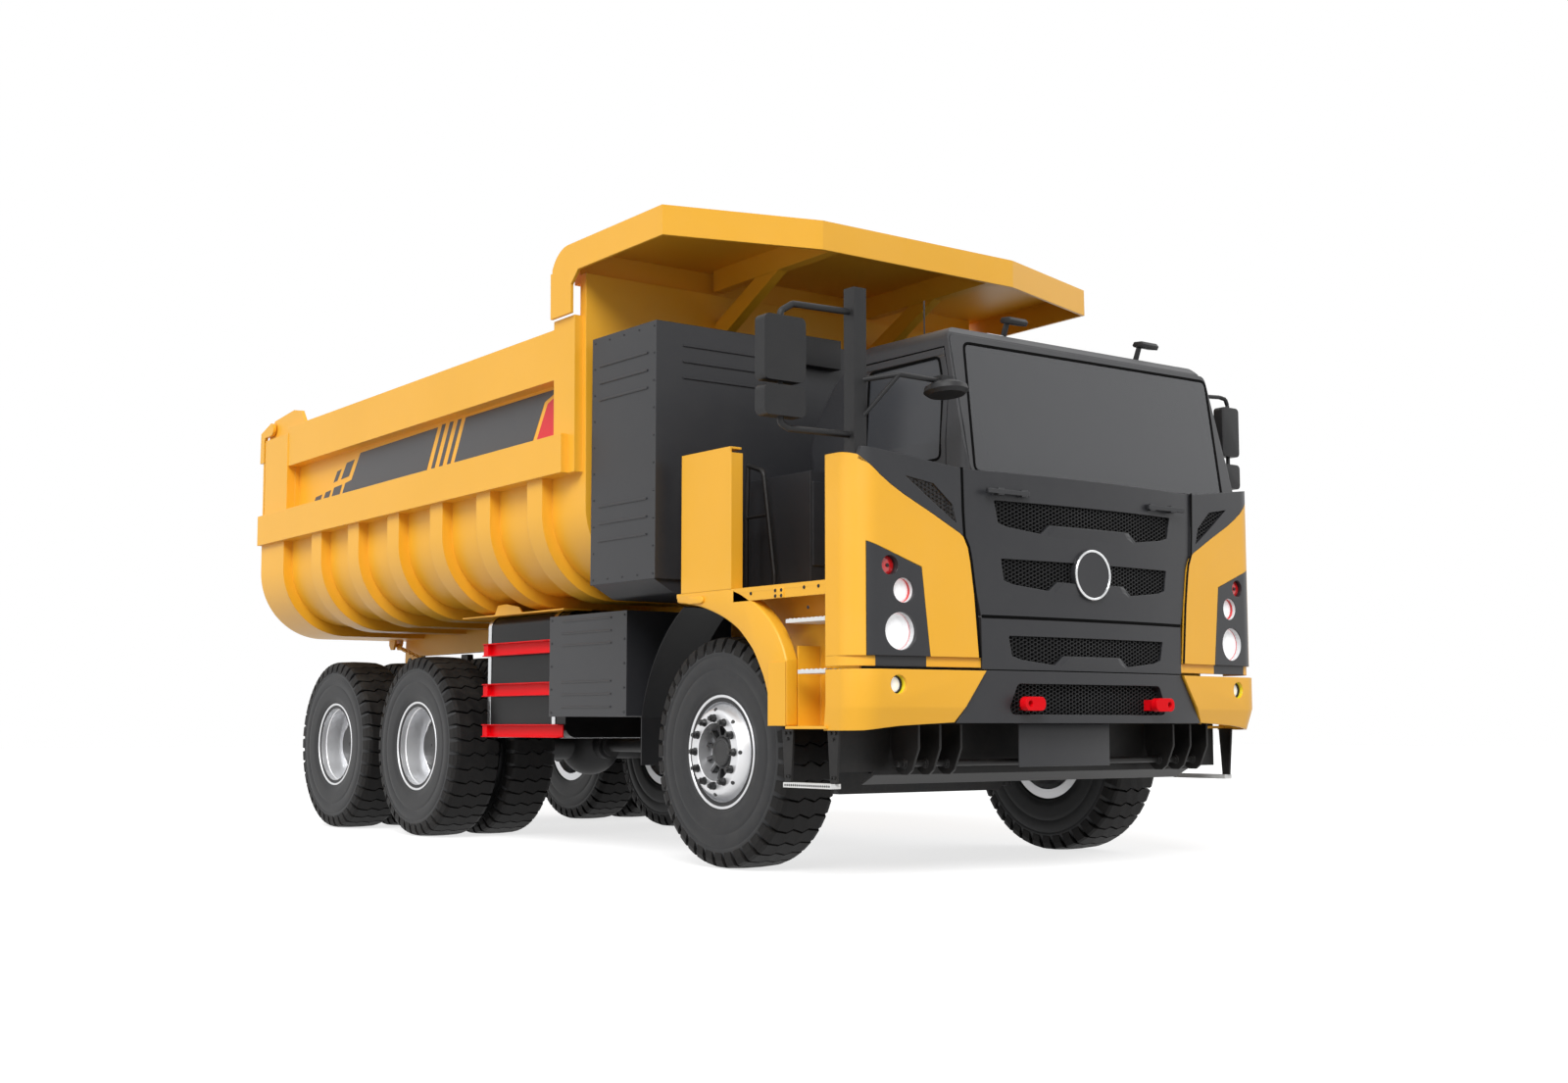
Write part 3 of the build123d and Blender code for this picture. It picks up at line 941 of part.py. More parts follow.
# ================================================================ mirrors
MAST = (-1657.0, -1360.0)
MIRROR_X = 2339.0
HEAD_W = 302.0                # right mirror heads, their outer edges at MIRROR_X
HEAD_X = MIRROR_X - HEAD_W / 2
HEAD_Y = FA - 1319.0
DISH = (-1140.0, -1600.0, 2905.0)     # round mirror that looks down, from the front axle
DISH_R = 138.0
with BuildPart() as mirror_r:
    mast_y = FA + MAST[1]
    slab(MAST[0] - 48, MAST[0] + 48, mast_y - 48, mast_y + 48, DECK_Z + 20, 3530)
    slab(MAST[0] - 48, MAST[0] + 48, mast_y - 48, FA - 1230, DECK_Z + SEAT, DECK_Z + 40)
    tube([(MAST[0], mast_y, 3385), (-HEAD_X + 90, HEAD_Y, 3385), (-HEAD_X, HEAD_Y, 3330),
          (-HEAD_X, HEAD_Y, 3200)], 20, 40)
    tube([(MAST[0], mast_y, 2640), (-HEAD_X + 60, HEAD_Y, 2640), (-HEAD_X, HEAD_Y, 2670),
          (-HEAD_X, HEAD_Y, 2760)], 20, 30)
    rod((-HEAD_X, HEAD_Y, 2840), (-HEAD_X, HEAD_Y, 2960), 16)
    for z0, z1 in ((2908, 3295), (2702, 2884)):
        plate_y([(-MIRROR_X, z0), (HEAD_W - MIRROR_X, z0), (HEAD_W - MIRROR_X, z1), (-MIRROR_X, z1)],
                HEAD_Y - 50, HEAD_Y + 45, 38)
    # round mirror over the corner on its own pair of arms
    tube([(MAST[0], mast_y, 2970), (-1480, FA - 1560, 3000), (-1180, FA - 1600, 2985)], 16, 60)
    rod((MAST[0], mast_y, 2700), (-1480, FA - 1560, 3000), 13)
    with BuildPart(mode=Mode.PRIVATE) as dish:
        with BuildSketch(Plane.XZ) as half:
            with BuildLine():
                Polyline((0, 0), (DISH_R - 25, 0), (DISH_R, 22), (DISH_R - 8, 52), (DISH_R - 55, 78), (0, 88),
                         close=True)
            make_face()
        revolve(half.sketch, axis=Axis.Z)
    add(Pos(DISH[0], FA + DISH[1], DISH[2]) * Rot(X=-6) * dish.part)
    slab(DISH[0] - 70, DISH[0] + 20, FA + DISH[1] - 40, FA + DISH[1] + 40, DISH[2] + 60, DISH[2] + 112)
save("mirror_right", mirror_r.part)

# the left mirrors hang on a loop from the door
LOOP_Y = HINGE_Y + 60
HEAD_LW = 200.0               # left mirror heads
HEAD_L = MIRROR_X - HEAD_LW / 2
with BuildPart() as mirror_l:
    slab(CAB_X1 + SEAT, CAB_X1 + 14, LOOP_Y - 30, LOOP_Y + 30, 2700, 2790)
    tube([(CAB_X1 + 6, LOOP_Y, 2745), (CAB_X1 + 90, LOOP_Y, 3235), (HEAD_L - 40, FA - 1000, 3235),
          (HEAD_L, FA - 967, 3150), (HEAD_L, FA - 967, 3100)], 16, 40)
    rod((HEAD_L, FA - 967, 2700), (HEAD_L, FA - 967, 2900), 15)
    for z0, z1 in ((2795, 3160), (2590, 2755)):
        plate_y([(MIRROR_X - HEAD_LW, z0), (MIRROR_X, z0), (MIRROR_X, z1), (MIRROR_X - HEAD_LW, z1)],
                FA - 1005, FA - 925, 35)
save("mirror_left", mirror_l.part)
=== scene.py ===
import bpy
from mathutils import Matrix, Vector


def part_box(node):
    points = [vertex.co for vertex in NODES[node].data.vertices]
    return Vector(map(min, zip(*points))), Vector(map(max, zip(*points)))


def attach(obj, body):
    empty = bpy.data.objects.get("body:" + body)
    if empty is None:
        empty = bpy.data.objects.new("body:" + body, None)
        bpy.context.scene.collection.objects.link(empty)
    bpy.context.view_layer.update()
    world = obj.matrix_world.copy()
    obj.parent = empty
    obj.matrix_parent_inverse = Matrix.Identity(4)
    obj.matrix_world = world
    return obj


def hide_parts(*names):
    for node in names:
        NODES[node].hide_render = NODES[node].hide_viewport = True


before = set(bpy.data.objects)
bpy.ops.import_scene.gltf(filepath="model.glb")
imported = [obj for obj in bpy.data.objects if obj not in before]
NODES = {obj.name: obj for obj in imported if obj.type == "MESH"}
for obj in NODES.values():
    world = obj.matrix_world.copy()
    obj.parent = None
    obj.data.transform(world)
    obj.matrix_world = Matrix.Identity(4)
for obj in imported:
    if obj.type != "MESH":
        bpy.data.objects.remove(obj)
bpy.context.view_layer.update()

from math import atan, cos, pi, radians, sin, sqrt

import bmesh
import bpy
from mathutils import Matrix, Vector

# ---------------------------------------------------------------- studio
# A pale floor under a white sky, one broad lamp from the front and a weaker one from
# each side, and a camera standing low off the right-hand front corner.
scene = bpy.context.scene
scene.view_settings.view_transform = "Standard"


def wire(tree, kind, sockets=None, **props):
    """Adds a node; sockets gives each of its inputs a value or another node's output."""
    made = tree.nodes.new(kind)
    for key, value in props.items():
        setattr(made, key, value)
    for key, value in (sockets or {}).items():
        if isinstance(value, bpy.types.Node):
            value = value.outputs[0]
        if isinstance(value, bpy.types.NodeSocket):
            tree.links.new(value, made.inputs[key])
        else:
            made.inputs[key].default_value = value
    return made


def maths(tree, operation, a, b=0.0):
    return wire(tree, "ShaderNodeMath", {0: a, 1: b}, operation=operation).outputs[0]


def seen_rays(tree):
    """1 for rays that carry the backdrop: to the camera, off gloss and through glass."""
    path = wire(tree, "ShaderNodeLightPath")
    return maths(tree, "MAXIMUM", path.outputs["Is Camera Ray"], maths(
        tree, "MAXIMUM", path.outputs["Is Glossy Ray"], path.outputs["Is Transmission Ray"]))


world = bpy.data.worlds.new("studio_sky")
scene.world = world
world.use_nodes = True
sky = world.node_tree
sky.nodes.clear()
level = wire(sky, "ShaderNodeMapRange", {"Value": seen_rays(sky), "To Min": 0.45, "To Max": 1.0})
wire(sky, "ShaderNodeOutputWorld", {"Surface": wire(
    sky, "ShaderNodeBackground", {"Color": (1, 1, 1, 1), "Strength": level})})

floor_finish = bpy.data.materials.new("studio_floor")
floor_finish.use_nodes = True
tree = floor_finish.node_tree
floor_shader = tree.nodes["Principled BSDF"]
floor_shader.inputs["Base Color"].default_value = (0.42, 0.42, 0.42, 1)
floor_shader.inputs["Roughness"].default_value = 1.0
floor_shader.inputs["Specular IOR Level"].default_value = 0.0
floor_shader.inputs["Emission Color"].default_value = (1, 1, 1, 1)
FLOOR_GLOW = 0.74
tree.links.new(maths(tree, "MULTIPLY", seen_rays(tree), FLOOR_GLOW), floor_shader.inputs["Emission Strength"])


def new_piece(name, mesh, material=None):
    piece = bpy.data.objects.new(name, mesh)
    scene.collection.objects.link(piece)
    if material:
        mesh.materials.append(material)
    return piece


def mesh_of(name, shapes, smooth=False):
    """One mesh from (points, faces) shapes, doubles merged and faces turned outwards."""
    work = bmesh.new()
    for points, faces in shapes:
        corners = [work.verts.new(p) for p in points]
        for face in faces:
            work.faces.new([corners[k] for k in face])
    bmesh.ops.remove_doubles(work, verts=work.verts, dist=1e-6)
    bmesh.ops.recalc_face_normals(work, faces=work.faces)
    mesh = bpy.data.meshes.new(name)
    work.to_mesh(mesh)
    work.free()
    for polygon in mesh.polygons:
        polygon.use_smooth = smooth
    return mesh


FLOOR_HALF = 60
floor = new_piece("studio_floor", mesh_of("studio_floor", [(
    [(x * FLOOR_HALF, y * FLOOR_HALF, 0) for x, y in ((-1, -1), (1, -1), (1, 1), (-1, 1))], [(0, 1, 2, 3)])]),
    floor_finish)
if floor.data.polygons[0].normal.z < 0:
    floor.data.flip_normals()

for name, towards, strength, width in (("key", (0.60, 0.66, -0.72), 2.5, 30),
                                       ("side", (0.95, -0.10, -0.45), 0.7, 50),
                                       ("far_side", (-0.8, 0.2, -0.6), 0.5, 50)):
    lamp = bpy.data.lights.new(name, "SUN")
    lamp.energy = strength
    lamp.angle = radians(width)
    holder = bpy.data.objects.new(name, lamp)
    holder.rotation_euler = Vector(towards).to_track_quat("-Z", "Y").to_euler()
    scene.collection.objects.link(holder)

camera = bpy.data.objects.new("camera", bpy.data.cameras.new("camera"))
camera.data.lens = 42.06
camera.data.sensor_width = 36
camera.data.clip_end = 300
camera.location = (-8.54402646, -12.49188, 0.91848411)
camera.rotation_euler = (radians(90 + 5.7223), 0, radians(-37.2379))
scene.collection.objects.link(camera)
scene.camera = camera

# ---------------------------------------------------------------- load body, canopy and tailgate
# Welded high-strength plate, blasted and sprayed with two-pack yellow; every long edge
# is folded or ground, so it catches a soft light.
SIDES = ((-1, "right"), (1, "left"))


def effect_group(name, inputs, outputs):
    """An empty shader group with its named sockets."""
    group = bpy.data.node_groups.new(name, "ShaderNodeTree")
    for label, kind, value in inputs:
        socket = group.interface.new_socket(name=label, in_out="INPUT", socket_type="NodeSocket" + kind)
        socket.default_value = value
    for label, kind in outputs:
        group.interface.new_socket(name=label, in_out="OUTPUT", socket_type="NodeSocket" + kind)
    return group, group.nodes.new("NodeGroupInput").outputs, group.nodes.new("NodeGroupOutput").inputs


# edges: a rounded normal at each arris, and where the finish is rubbed through there
edge_wear, given, result = effect_group("edge_wear", [("Radius", "Float", 0.006), ("Wear", "Float", 0.3)],
                                        [("Mask", "Float"), ("Normal", "Vector")])
rounded = wire(edge_wear, "ShaderNodeBevel", {"Radius": given["Radius"]}, samples=4)
facing = wire(edge_wear, "ShaderNodeVectorMath", {
    0: rounded, 1: wire(edge_wear, "ShaderNodeNewGeometry").outputs["Normal"]}, operation="DOT_PRODUCT")
arris = wire(edge_wear, "ShaderNodeMapRange", {
    "Value": facing.outputs["Value"], "From Min": 0.97, "From Max": 0.75, "To Min": 0.0, "To Max": 1.0})
place = wire(edge_wear, "ShaderNodeTexCoord").outputs["Object"]
chips = wire(edge_wear, "ShaderNodeMapRange", {
    "Value": wire(edge_wear, "ShaderNodeTexNoise", {
        "Vector": place, "Scale": 14.0, "Detail": 5.0, "Roughness": 0.7}),
    "From Min": 0.56, "From Max": 0.66, "To Min": 0.0, "To Max": 1.0})
rubbed_edge = maths(edge_wear, "MULTIPLY", arris.outputs[0], chips.outputs[0])
edge_wear.links.new(maths(edge_wear, "MULTIPLY", rubbed_edge, given["Wear"]), result["Mask"])
edge_wear.links.new(rounded.outputs[0], result["Normal"])

# skin: slow drift of the colour, dust that lies on top, and a fine uneven surface
skin_group, given, result = effect_group(
    "surface_skin", [("Colour", "Color", (0.5, 0.5, 0.5, 1)), ("Dust Colour", "Color", (0.5, 0.46, 0.4, 1)),
                     ("Drift", "Float", 0.06), ("Dust", "Float", 0.1), ("Grain Size", "Float", 220.0),
                     ("Roughness", "Float", 0.4)],
    [("Colour", "Color"), ("Roughness", "Float"), ("Height", "Float")])
place = wire(skin_group, "ShaderNodeTexCoord").outputs["Object"]
slow = wire(skin_group, "ShaderNodeTexNoise", {"Vector": place, "Scale": 0.9, "Detail": 4.0, "Roughness": 0.55})
swing = maths(skin_group, "MULTIPLY", maths(skin_group, "SUBTRACT", slow.outputs[0], 0.5), given["Drift"])
shade = wire(skin_group, "ShaderNodeHueSaturation", {
    "Color": given["Colour"], "Value": maths(skin_group, "ADD", swing, 1.0),
    "Saturation": maths(skin_group, "SUBTRACT", 1.0, maths(skin_group, "MULTIPLY", swing, 0.4))})
upward = wire(skin_group, "ShaderNodeSeparateXYZ", {
    0: wire(skin_group, "ShaderNodeNewGeometry").outputs["Normal"]})
specks = wire(skin_group, "ShaderNodeMapRange", {
    "Value": wire(skin_group, "ShaderNodeTexNoise", {
        "Vector": place, "Scale": 5.0, "Detail": 8.0, "Roughness": 0.75}),
    "From Min": 0.42, "From Max": 0.72})
lying = wire(skin_group, "ShaderNodeMapRange", {
    "Value": upward.outputs["Z"], "From Min": -0.4, "From Max": 1.0, "To Min": 0.15, "To Max": 1.0})
dusty = maths(skin_group, "MULTIPLY", maths(skin_group, "MULTIPLY", specks.outputs[0], lying.outputs[0]),
              given["Dust"])
mixed = wire(skin_group, "ShaderNodeMix", {0: dusty, 6: shade.outputs[0], 7: given["Dust Colour"]},
             data_type="RGBA")
skin_group.links.new(mixed.outputs[2], result["Colour"])
dulled = maths(skin_group, "ADD", maths(skin_group, "MULTIPLY", swing, 0.8),
               maths(skin_group, "MULTIPLY", dusty, 0.8))
skin_group.links.new(maths(skin_group, "ADD", given["Roughness"], dulled), result["Roughness"])
fine = wire(skin_group, "ShaderNodeTexNoise", {"Vector": place, "Scale": given["Grain Size"], "Detail": 2.0})
skin_group.links.new(fine.outputs[0], result["Height"])


def finish(name, colour, roughness, metallic=0.0, drift=0.1, dust=0.06, grain=260.0, bump=0.05, edge=0.007,
           wear=0.25, bare=(0.25, 0.24, 0.23), coat=0.0, specular=0.5):
    """A hard finish: skin and edge wear over one Principled shader."""
    material = bpy.data.materials.new(name)
    material.use_nodes = True
    t = material.node_tree
    shader = t.nodes["Principled BSDF"]
    skin = wire(t, "ShaderNodeGroup", node_tree=skin_group)
    for label, value in (("Colour", (*colour, 1)), ("Drift", drift), ("Dust", dust), ("Grain Size", grain),
                         ("Roughness", roughness)):
        skin.inputs[label].default_value = value
    edges = wire(t, "ShaderNodeGroup", node_tree=edge_wear)
    edges.inputs["Radius"].default_value = edge
    edges.inputs["Wear"].default_value = wear
    rubbed = wire(t, "ShaderNodeMix", {0: edges.outputs["Mask"], 6: skin.outputs["Colour"], 7: (*bare, 1)},
                  data_type="RGBA")
    lumps = wire(t, "ShaderNodeBump", {"Strength": bump, "Distance": 0.002, "Height": skin.outputs["Height"],
                                       "Normal": edges.outputs["Normal"]})
    t.links.new(rubbed.outputs[2], shader.inputs["Base Color"])
    t.links.new(skin.outputs["Roughness"], shader.inputs["Roughness"])
    t.links.new(lumps.outputs[0], shader.inputs["Normal"])
    shader.inputs["Metallic"].default_value = metallic
    shader.inputs["Coat Weight"].default_value = coat
    shader.inputs["Specular IOR Level"].default_value = specular
    return material


def dress(material, *nodes):
    for node in nodes:
        for slot in NODES[node].material_slots:
            slot.material = material


yellow_paint = finish("yellow_paint", (0.86, 0.432, 0.026), 0.42, dust=0.05, bump=0.06, wear=0.10,
                      bare=(0.45, 0.24, 0.08))
dress(yellow_paint, "load_body", "canopy", "tailgate")

# ---------------------------------------------------------------- side stripes
# Cut vinyl film on the recessed panel of the load body: slanted grey bars with a red
# wedge behind the front post. Each bar lies on the paint.
PANEL_FACE = 1.853
FILM = (-0.001, 0.0015)           # under and over the panel's face
stripe_grey = finish("stripe_film_grey", (0.042, 0.043, 0.047), 0.38, dust=0.03, edge=0.001, wear=0.0,
                     bump=0.01)
stripe_red = finish("stripe_film_red", (0.62, 0.003, 0.013), 0.36, dust=0.01, edge=0.001, wear=0.0, bump=0.01)
GREY_BARS = [  # (back, up) corners
    [(2.465, 3.301), (0.971, 3.334), (1.190, 2.951), (2.875, 2.922), (2.775, 3.065), (2.646, 3.081)],
    [(0.895, 3.346), (0.832, 3.346), (1.049, 2.952), (1.112, 2.952)],
    [(0.757, 3.348), (0.695, 3.348), (0.908, 2.954), (0.972, 2.954)],
    [(0.618, 3.350), (0.557, 3.350), (0.770, 2.956), (0.832, 2.956)],
    [(0.487, 3.350), (0.702, 2.957), (-0.560, 2.969), (-0.765, 3.295), (-1.010, 3.372)],
    [(2.751, 3.244), (2.586, 3.256), (2.702, 3.119), (2.870, 3.107)],
    [(2.952, 3.190), (2.863, 3.200), (2.947, 3.105), (3.032, 3.095)],
    [(3.016, 3.049), (2.842, 3.060), (2.930, 2.922), (3.105, 2.919)],
    [(3.202, 3.025), (3.081, 3.035), (3.165, 2.919), (3.290, 2.916)],
    [(3.422, 3.002), (3.276, 3.015), (3.350, 2.916), (3.495, 2.913)]]
RED_BARS = [[(-0.809, 3.277), (-1.075, 3.365), (-1.132, 3.365), (-1.132, 2.977), (-0.618, 2.972)]]


def loft(sections, closed=False):
    """A (points, faces) shape through loops of points, capped at its ends unless it is closed."""
    points = [point for section in sections for point in section]
    n, count = len(sections[0]), len(sections)
    faces = [] if closed else [tuple(range(n)), tuple(range(len(points) - n, len(points)))]
    for k in range(count if closed else count - 1):
        a, b = k * n, (k + 1) % count * n
        faces += [(a + i, a + (i + 1) % n, b + (i + 1) % n, b + i) for i in range(n)]
    return points, faces


def prism(outline, axis, a, b):
    """A flat plate: its outline lies in the two other axes, from a to b along this one."""
    return loft([[(*point[:axis], level, *point[axis:]) for point in outline] for level in (a, b)])


def add(name, shape, material, slot, body="chassis", replaces=None):
    """A finished piece on its body; shape is a mesh or a list of (points, faces) shapes."""
    mesh = shape if isinstance(shape, bpy.types.Mesh) else mesh_of(name, shape)
    mesh.name = name
    piece = new_piece(name, mesh, material)
    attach(piece, body)
    if replaces:
        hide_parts(replaces)
    return piece


for name, bars, film, slot in (("stripe_bars_grey", GREY_BARS, stripe_grey, "dark"),
                               ("stripe_bars_red", RED_BARS, stripe_red, "red")):
    add(name, [prism(bar, 0, s * (PANEL_FACE + FILM[0]), s * (PANEL_FACE + FILM[1]))
               for bar in bars for s in (-1, 1)], film, slot, "tipper")

# ---------------------------------------------------------------- tyres
# Rubber earthmover tyres: a turned carcass with ring lines on its sidewall, and rows of
# staggered tread bars that run over each shoulder.
HALF_TYRE = 0.215
TREAD_BARS = 40
tyre_low, tyre_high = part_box("tyre_front_left")
HUB_Y = {"front": (tyre_low[1] + tyre_high[1]) / 2}
HUB_Z = (tyre_low[2] + tyre_high[2]) / 2
TYRE_R = (tyre_high[2] - tyre_low[2]) / 2
FRONT_X = (tyre_low[0] + tyre_high[0]) / 2
for row in ("middle", "rear"):
    low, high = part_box("tyres_" + row + "_left")
    HUB_Y[row] = (low[1] + high[1]) / 2
TWIN_X = (high[0] - HALF_TYRE, low[0] + HALF_TYRE)
FRONT_AXLE = HUB_Y["front"]
rubber = finish("tyre_rubber", (0.0145, 0.015, 0.0165), 0.50, drift=0.20, dust=0.05, grain=420.0, bump=0.18,
                edge=0.004, wear=0.2, bare=(0.05, 0.05, 0.05), specular=0.35)
tread_rubber = finish("tread_rubber", (0.0085, 0.008, 0.008), 0.55, drift=0.30, dust=0.05, grain=300.0,
                      bump=0.20, edge=0.004, bare=(0.04, 0.036, 0.032), specular=0.16)
CARCASS = [  # (from the middle plane, radius), bead to crown
    (0.184, 0.323), (0.187, 0.370), (0.190, 0.376), (0.1965, 0.380), (0.1990, 0.388), (0.1990, 0.396),
    (0.2045, 0.404), (0.2080, 0.440), (0.2100, 0.470), (0.2115, 0.500), (0.2120, 0.524), (0.2100, 0.528),
    (0.2100, 0.532), (0.2122, 0.536), (0.2130, 0.580), (0.2110, 0.612), (0.2085, 0.616), (0.2085, 0.620),
    (0.2125, 0.626), (0.2095, 0.645), (0.1930, 0.680), (0.1760, 0.697), (0.150, 0.708), (0.0, 0.7180)]


def turned(profile, centre, side=1, steps=96):
    """A turned shape about the X axis through the centre, from (along the axle, radius) pairs."""
    x, y, z = centre
    n = len(profile)
    points, faces = [], []
    for k in range(steps):
        c, s = cos(2 * pi * k / steps), sin(2 * pi * k / steps)
        points += [(x + side * a, y + r * c, z + r * s) for a, r in profile]
        for i in range(n - 1):
            a, b = k * n + i, (k + 1) % steps * n + i
            on_axis, next_on_axis = profile[i][1] < 1e-6, profile[i + 1][1] < 1e-6
            if not (on_axis and next_on_axis):
                faces.append((a, a + 1, b + 1) if on_axis else (a, a + 1, b) if next_on_axis
                             else (a, a + 1, b + 1, b))
    return points, faces


def plain_mesh(carrier):
    """The carrier's mesh with its modifiers applied; the carrier itself goes."""
    mesh = bpy.data.meshes.new_from_object(carrier.evaluated_get(bpy.context.evaluated_depsgraph_get()))
    carrier.modifiers.clear()
    bpy.data.objects.remove(carrier)
    return mesh


def node_tree(name, inputs):
    """An empty Geometry Nodes tree with named inputs and one Geometry output."""
    t = bpy.data.node_groups.new(name, "GeometryNodeTree")
    for label, kind in inputs:
        t.interface.new_socket(name=label, in_out="INPUT", socket_type="NodeSocket" + kind)
    t.interface.new_socket(name="Geometry", in_out="OUTPUT", socket_type="NodeSocketGeometry")
    return t, t.nodes.new("NodeGroupInput").outputs, t.nodes.new("NodeGroupOutput").inputs[0]


def finished_with(t, geometry, into, out):
    """Ends a tree in Set Material."""
    t.links.new(wire(t, "GeometryNodeSetMaterial", {
        "Geometry": geometry, "Material": into["Finish"]}).outputs[0], out)


# copies of the input turned about the X axis, then set at Centre
ring, into, out = node_tree("ring_of_copies", (("Geometry", "Geometry"), ("Count", "Int"),
                                               ("Start Angle", "Float"), ("Centre", "Vector"),
                                               ("Finish", "Material")))
step = wire(ring, "ShaderNodeMath", {0: 2 * pi, 1: into["Count"]}, operation="DIVIDE")
angle = wire(ring, "ShaderNodeMath", {0: wire(ring, "GeometryNodeInputIndex"), 1: step,
                                      2: into["Start Angle"]}, operation="MULTIPLY_ADD")
copies = wire(ring, "GeometryNodeInstanceOnPoints", {
    "Points": wire(ring, "GeometryNodePoints", {"Count": into["Count"]}), "Instance": into["Geometry"],
    "Rotation": wire(ring, "ShaderNodeCombineXYZ", {"X": angle})})
real = wire(ring, "GeometryNodeRealizeInstances", {"Geometry": copies})
finished_with(ring, wire(ring, "GeometryNodeTransform", {"Geometry": real, "Translation": into["Centre"]}),
              into, out)


def grown(seed, tree, values):
    """Runs a Geometry Nodes tree on the seed mesh and keeps the result as a plain mesh."""
    carrier = new_piece("seed", seed)
    run = carrier.modifiers.new("grow", "NODES")
    run.node_group = tree
    for item in tree.interface.items_tree:
        if item.in_out == "INPUT" and item.name in values:
            run[item.identifier] = values[item.name]
    return plain_mesh(carrier)


def round_axle(seed, count, start, centre, material):
    return grown(seed, ring, {"Count": count, "Start Angle": start, "Centre": centre, "Finish": material})


def tread_bar():
    """One wide bar across the tread; its edges bend twice, and it runs over both shoulders."""
    # across, outer radius, depth below it, half width, shift round the tyre
    line = [(-0.2125, 0.645, 0.020, 0.0400, 0.000), (-0.2060, 0.695, 0.034, 0.0395, 0.000),
            (-0.1880, 0.732, 0.036, 0.0420, 0.000), (-0.1600, 0.7410, 0.032, 0.0500, 0.004),
            (-0.0800, 0.7450, 0.028, 0.0515, 0.018), (-0.0420, 0.7463, 0.028, 0.0515, -0.010),
            (0.0420, 0.7463, 0.028, 0.0515, 0.020), (0.0800, 0.7450, 0.028, 0.0515, -0.008),
            (0.1600, 0.7410, 0.032, 0.0500, 0.006), (0.1880, 0.732, 0.036, 0.0420, 0.006),
            (0.2060, 0.695, 0.034, 0.0395, 0.006), (0.2125, 0.645, 0.020, 0.0400, 0.006)]
    points = []
    for x, r, deep, half, shift in line:
        for sink, flare, squeeze in ((0.0, 0.0, 1.0), (deep, 0.0025, 0.94)):
            for way in (-1, 1):
                t = (way * (half + flare) + shift) / TYRE_R
                points.append((x * squeeze, (r - sink) * cos(t), (r - sink) * sin(t)))
    last = len(points) - 4
    faces = [(b, b + 1, b + 3, b + 2) for b in (0, last)]
    for b in range(0, last, 4):
        faces += [(b, b + 1, b + 5, b + 4), (b + 2, b + 3, b + 7, b + 6), (b, b + 2, b + 6, b + 4),
                  (b + 1, b + 3, b + 7, b + 5)]
    return mesh_of("tread_bar", [(points, faces)])


whole = CARCASS + [(-a, r) for a, r in reversed(CARCASS[:-1])]
for row, xs in (("front", (FRONT_X,)), ("middle", TWIN_X), ("rear", TWIN_X)):
    for s, side in SIDES:
        tyre = ("tyre_" if row == "front" else "tyres_") + row + "_" + side
        body = ("wheel_" if row == "front" else "wheels_") + row + "_" + side
        for k, x in enumerate(xs):
            tag = tyre + ("" if row == "front" else ("_outer", "_inner")[k])
            centre = (s * x, HUB_Y[row], HUB_Z)
            add(tag + "_carcass", mesh_of(tag, [turned(whole, centre, steps=128)], smooth=True), rubber, "tyre",
                body, tyre)
            add(tag + "_bars", round_axle(tread_bar(), TREAD_BARS, 0.3 * k, centre, tread_rubber), None, "tyre",
                body)

# ---------------------------------------------------------------- wheels
# Polished steel rims: the front disc stands out to its bolt ring round a black ribbed hub,
# the twin rims are deep barrels with a black hub drum at the bottom. Nuts sit on studs.
rim_metal = finish("rim_steel", (0.74, 0.745, 0.76), 0.36, metallic=0.75, drift=0.05, dust=0.03, bump=0.03,
                   edge=0.003, wear=0.0, grain=90.0)
# black hub paint; the same finish makes the hand holes' dark discs, which are painted shade
hub_black_and_hole_shade = finish("hub_paint_and_hole_shade", (0.014, 0.014, 0.015), 0.40, wear=0.2, edge=0.003)
BOLTS = 12
BOLT_R = 0.216
HAND_HOLES = 8
LIP = [(0.180, 0.3225), (0.180, 0.362), (0.184, 0.3675), (0.190, 0.368), (0.1935, 0.363), (0.1925, 0.354),
       (0.187, 0.349), (0.182, 0.349), (0.180, 0.345), (0.181, 0.340), (0.177, 0.335)]
# (along the axle, radius), from the outer lip over the disc to the hub, then back inside
FRONT_FACE, TWIN_FACE = 0.2415, -0.045
FRONT_RIM = LIP + [
    (0.160, 0.331), (0.146, 0.326), (0.143, 0.321), (0.150, 0.315), (0.180, 0.302), (0.208, 0.288),
    (0.226, 0.277), (0.236, 0.268), (0.2405, 0.258), (FRONT_FACE, 0.248), (FRONT_FACE, 0.190), (0.238, 0.186),
    (0.130, 0.183), (0.130, 0.0), (0.112, 0.0), (0.112, 0.0705), (-0.060, 0.0705), (-0.060, 0.235),
    (0.090, 0.245), (0.090, 0.300), (-0.190, 0.300), (-0.190, 0.368), (-0.185, 0.368), (-0.185, 0.3225),
    (0.180, 0.3225)]
FRONT_HUB = [(0.128, 0.175), (0.140, 0.112), (0.176, 0.108), (0.180, 0.098), (0.192, 0.092), (0.196, 0.084),
             (0.1965, 0.074), (0.193, 0.070), (0.193, 0.0)]
TWIN_RIM = LIP + [
    (0.150, 0.330), (0.138, 0.322), (0.132, 0.314), (0.010, 0.306), (-0.030, 0.300), (-0.040, 0.290),
    (-0.030, 0.268), (-0.012, 0.262), (-0.006, 0.255), (-0.008, 0.247), (-0.030, 0.243), (TWIN_FACE, 0.236),
    (TWIN_FACE, 0.0), (-0.060, 0.0), (-0.060, 0.0905), (-0.300, 0.0905), (-0.300, 0.200), (-0.100, 0.250),
    (-0.110, 0.300), (-0.710, 0.300), (-0.710, 0.368), (-0.705, 0.368), (-0.705, 0.322), (-0.335, 0.322),
    (-0.335, 0.368), (-0.330, 0.368), (-0.330, 0.332), (-0.190, 0.332), (-0.190, 0.368), (-0.185, 0.368),
    (-0.185, 0.3225), (0.180, 0.3225)]
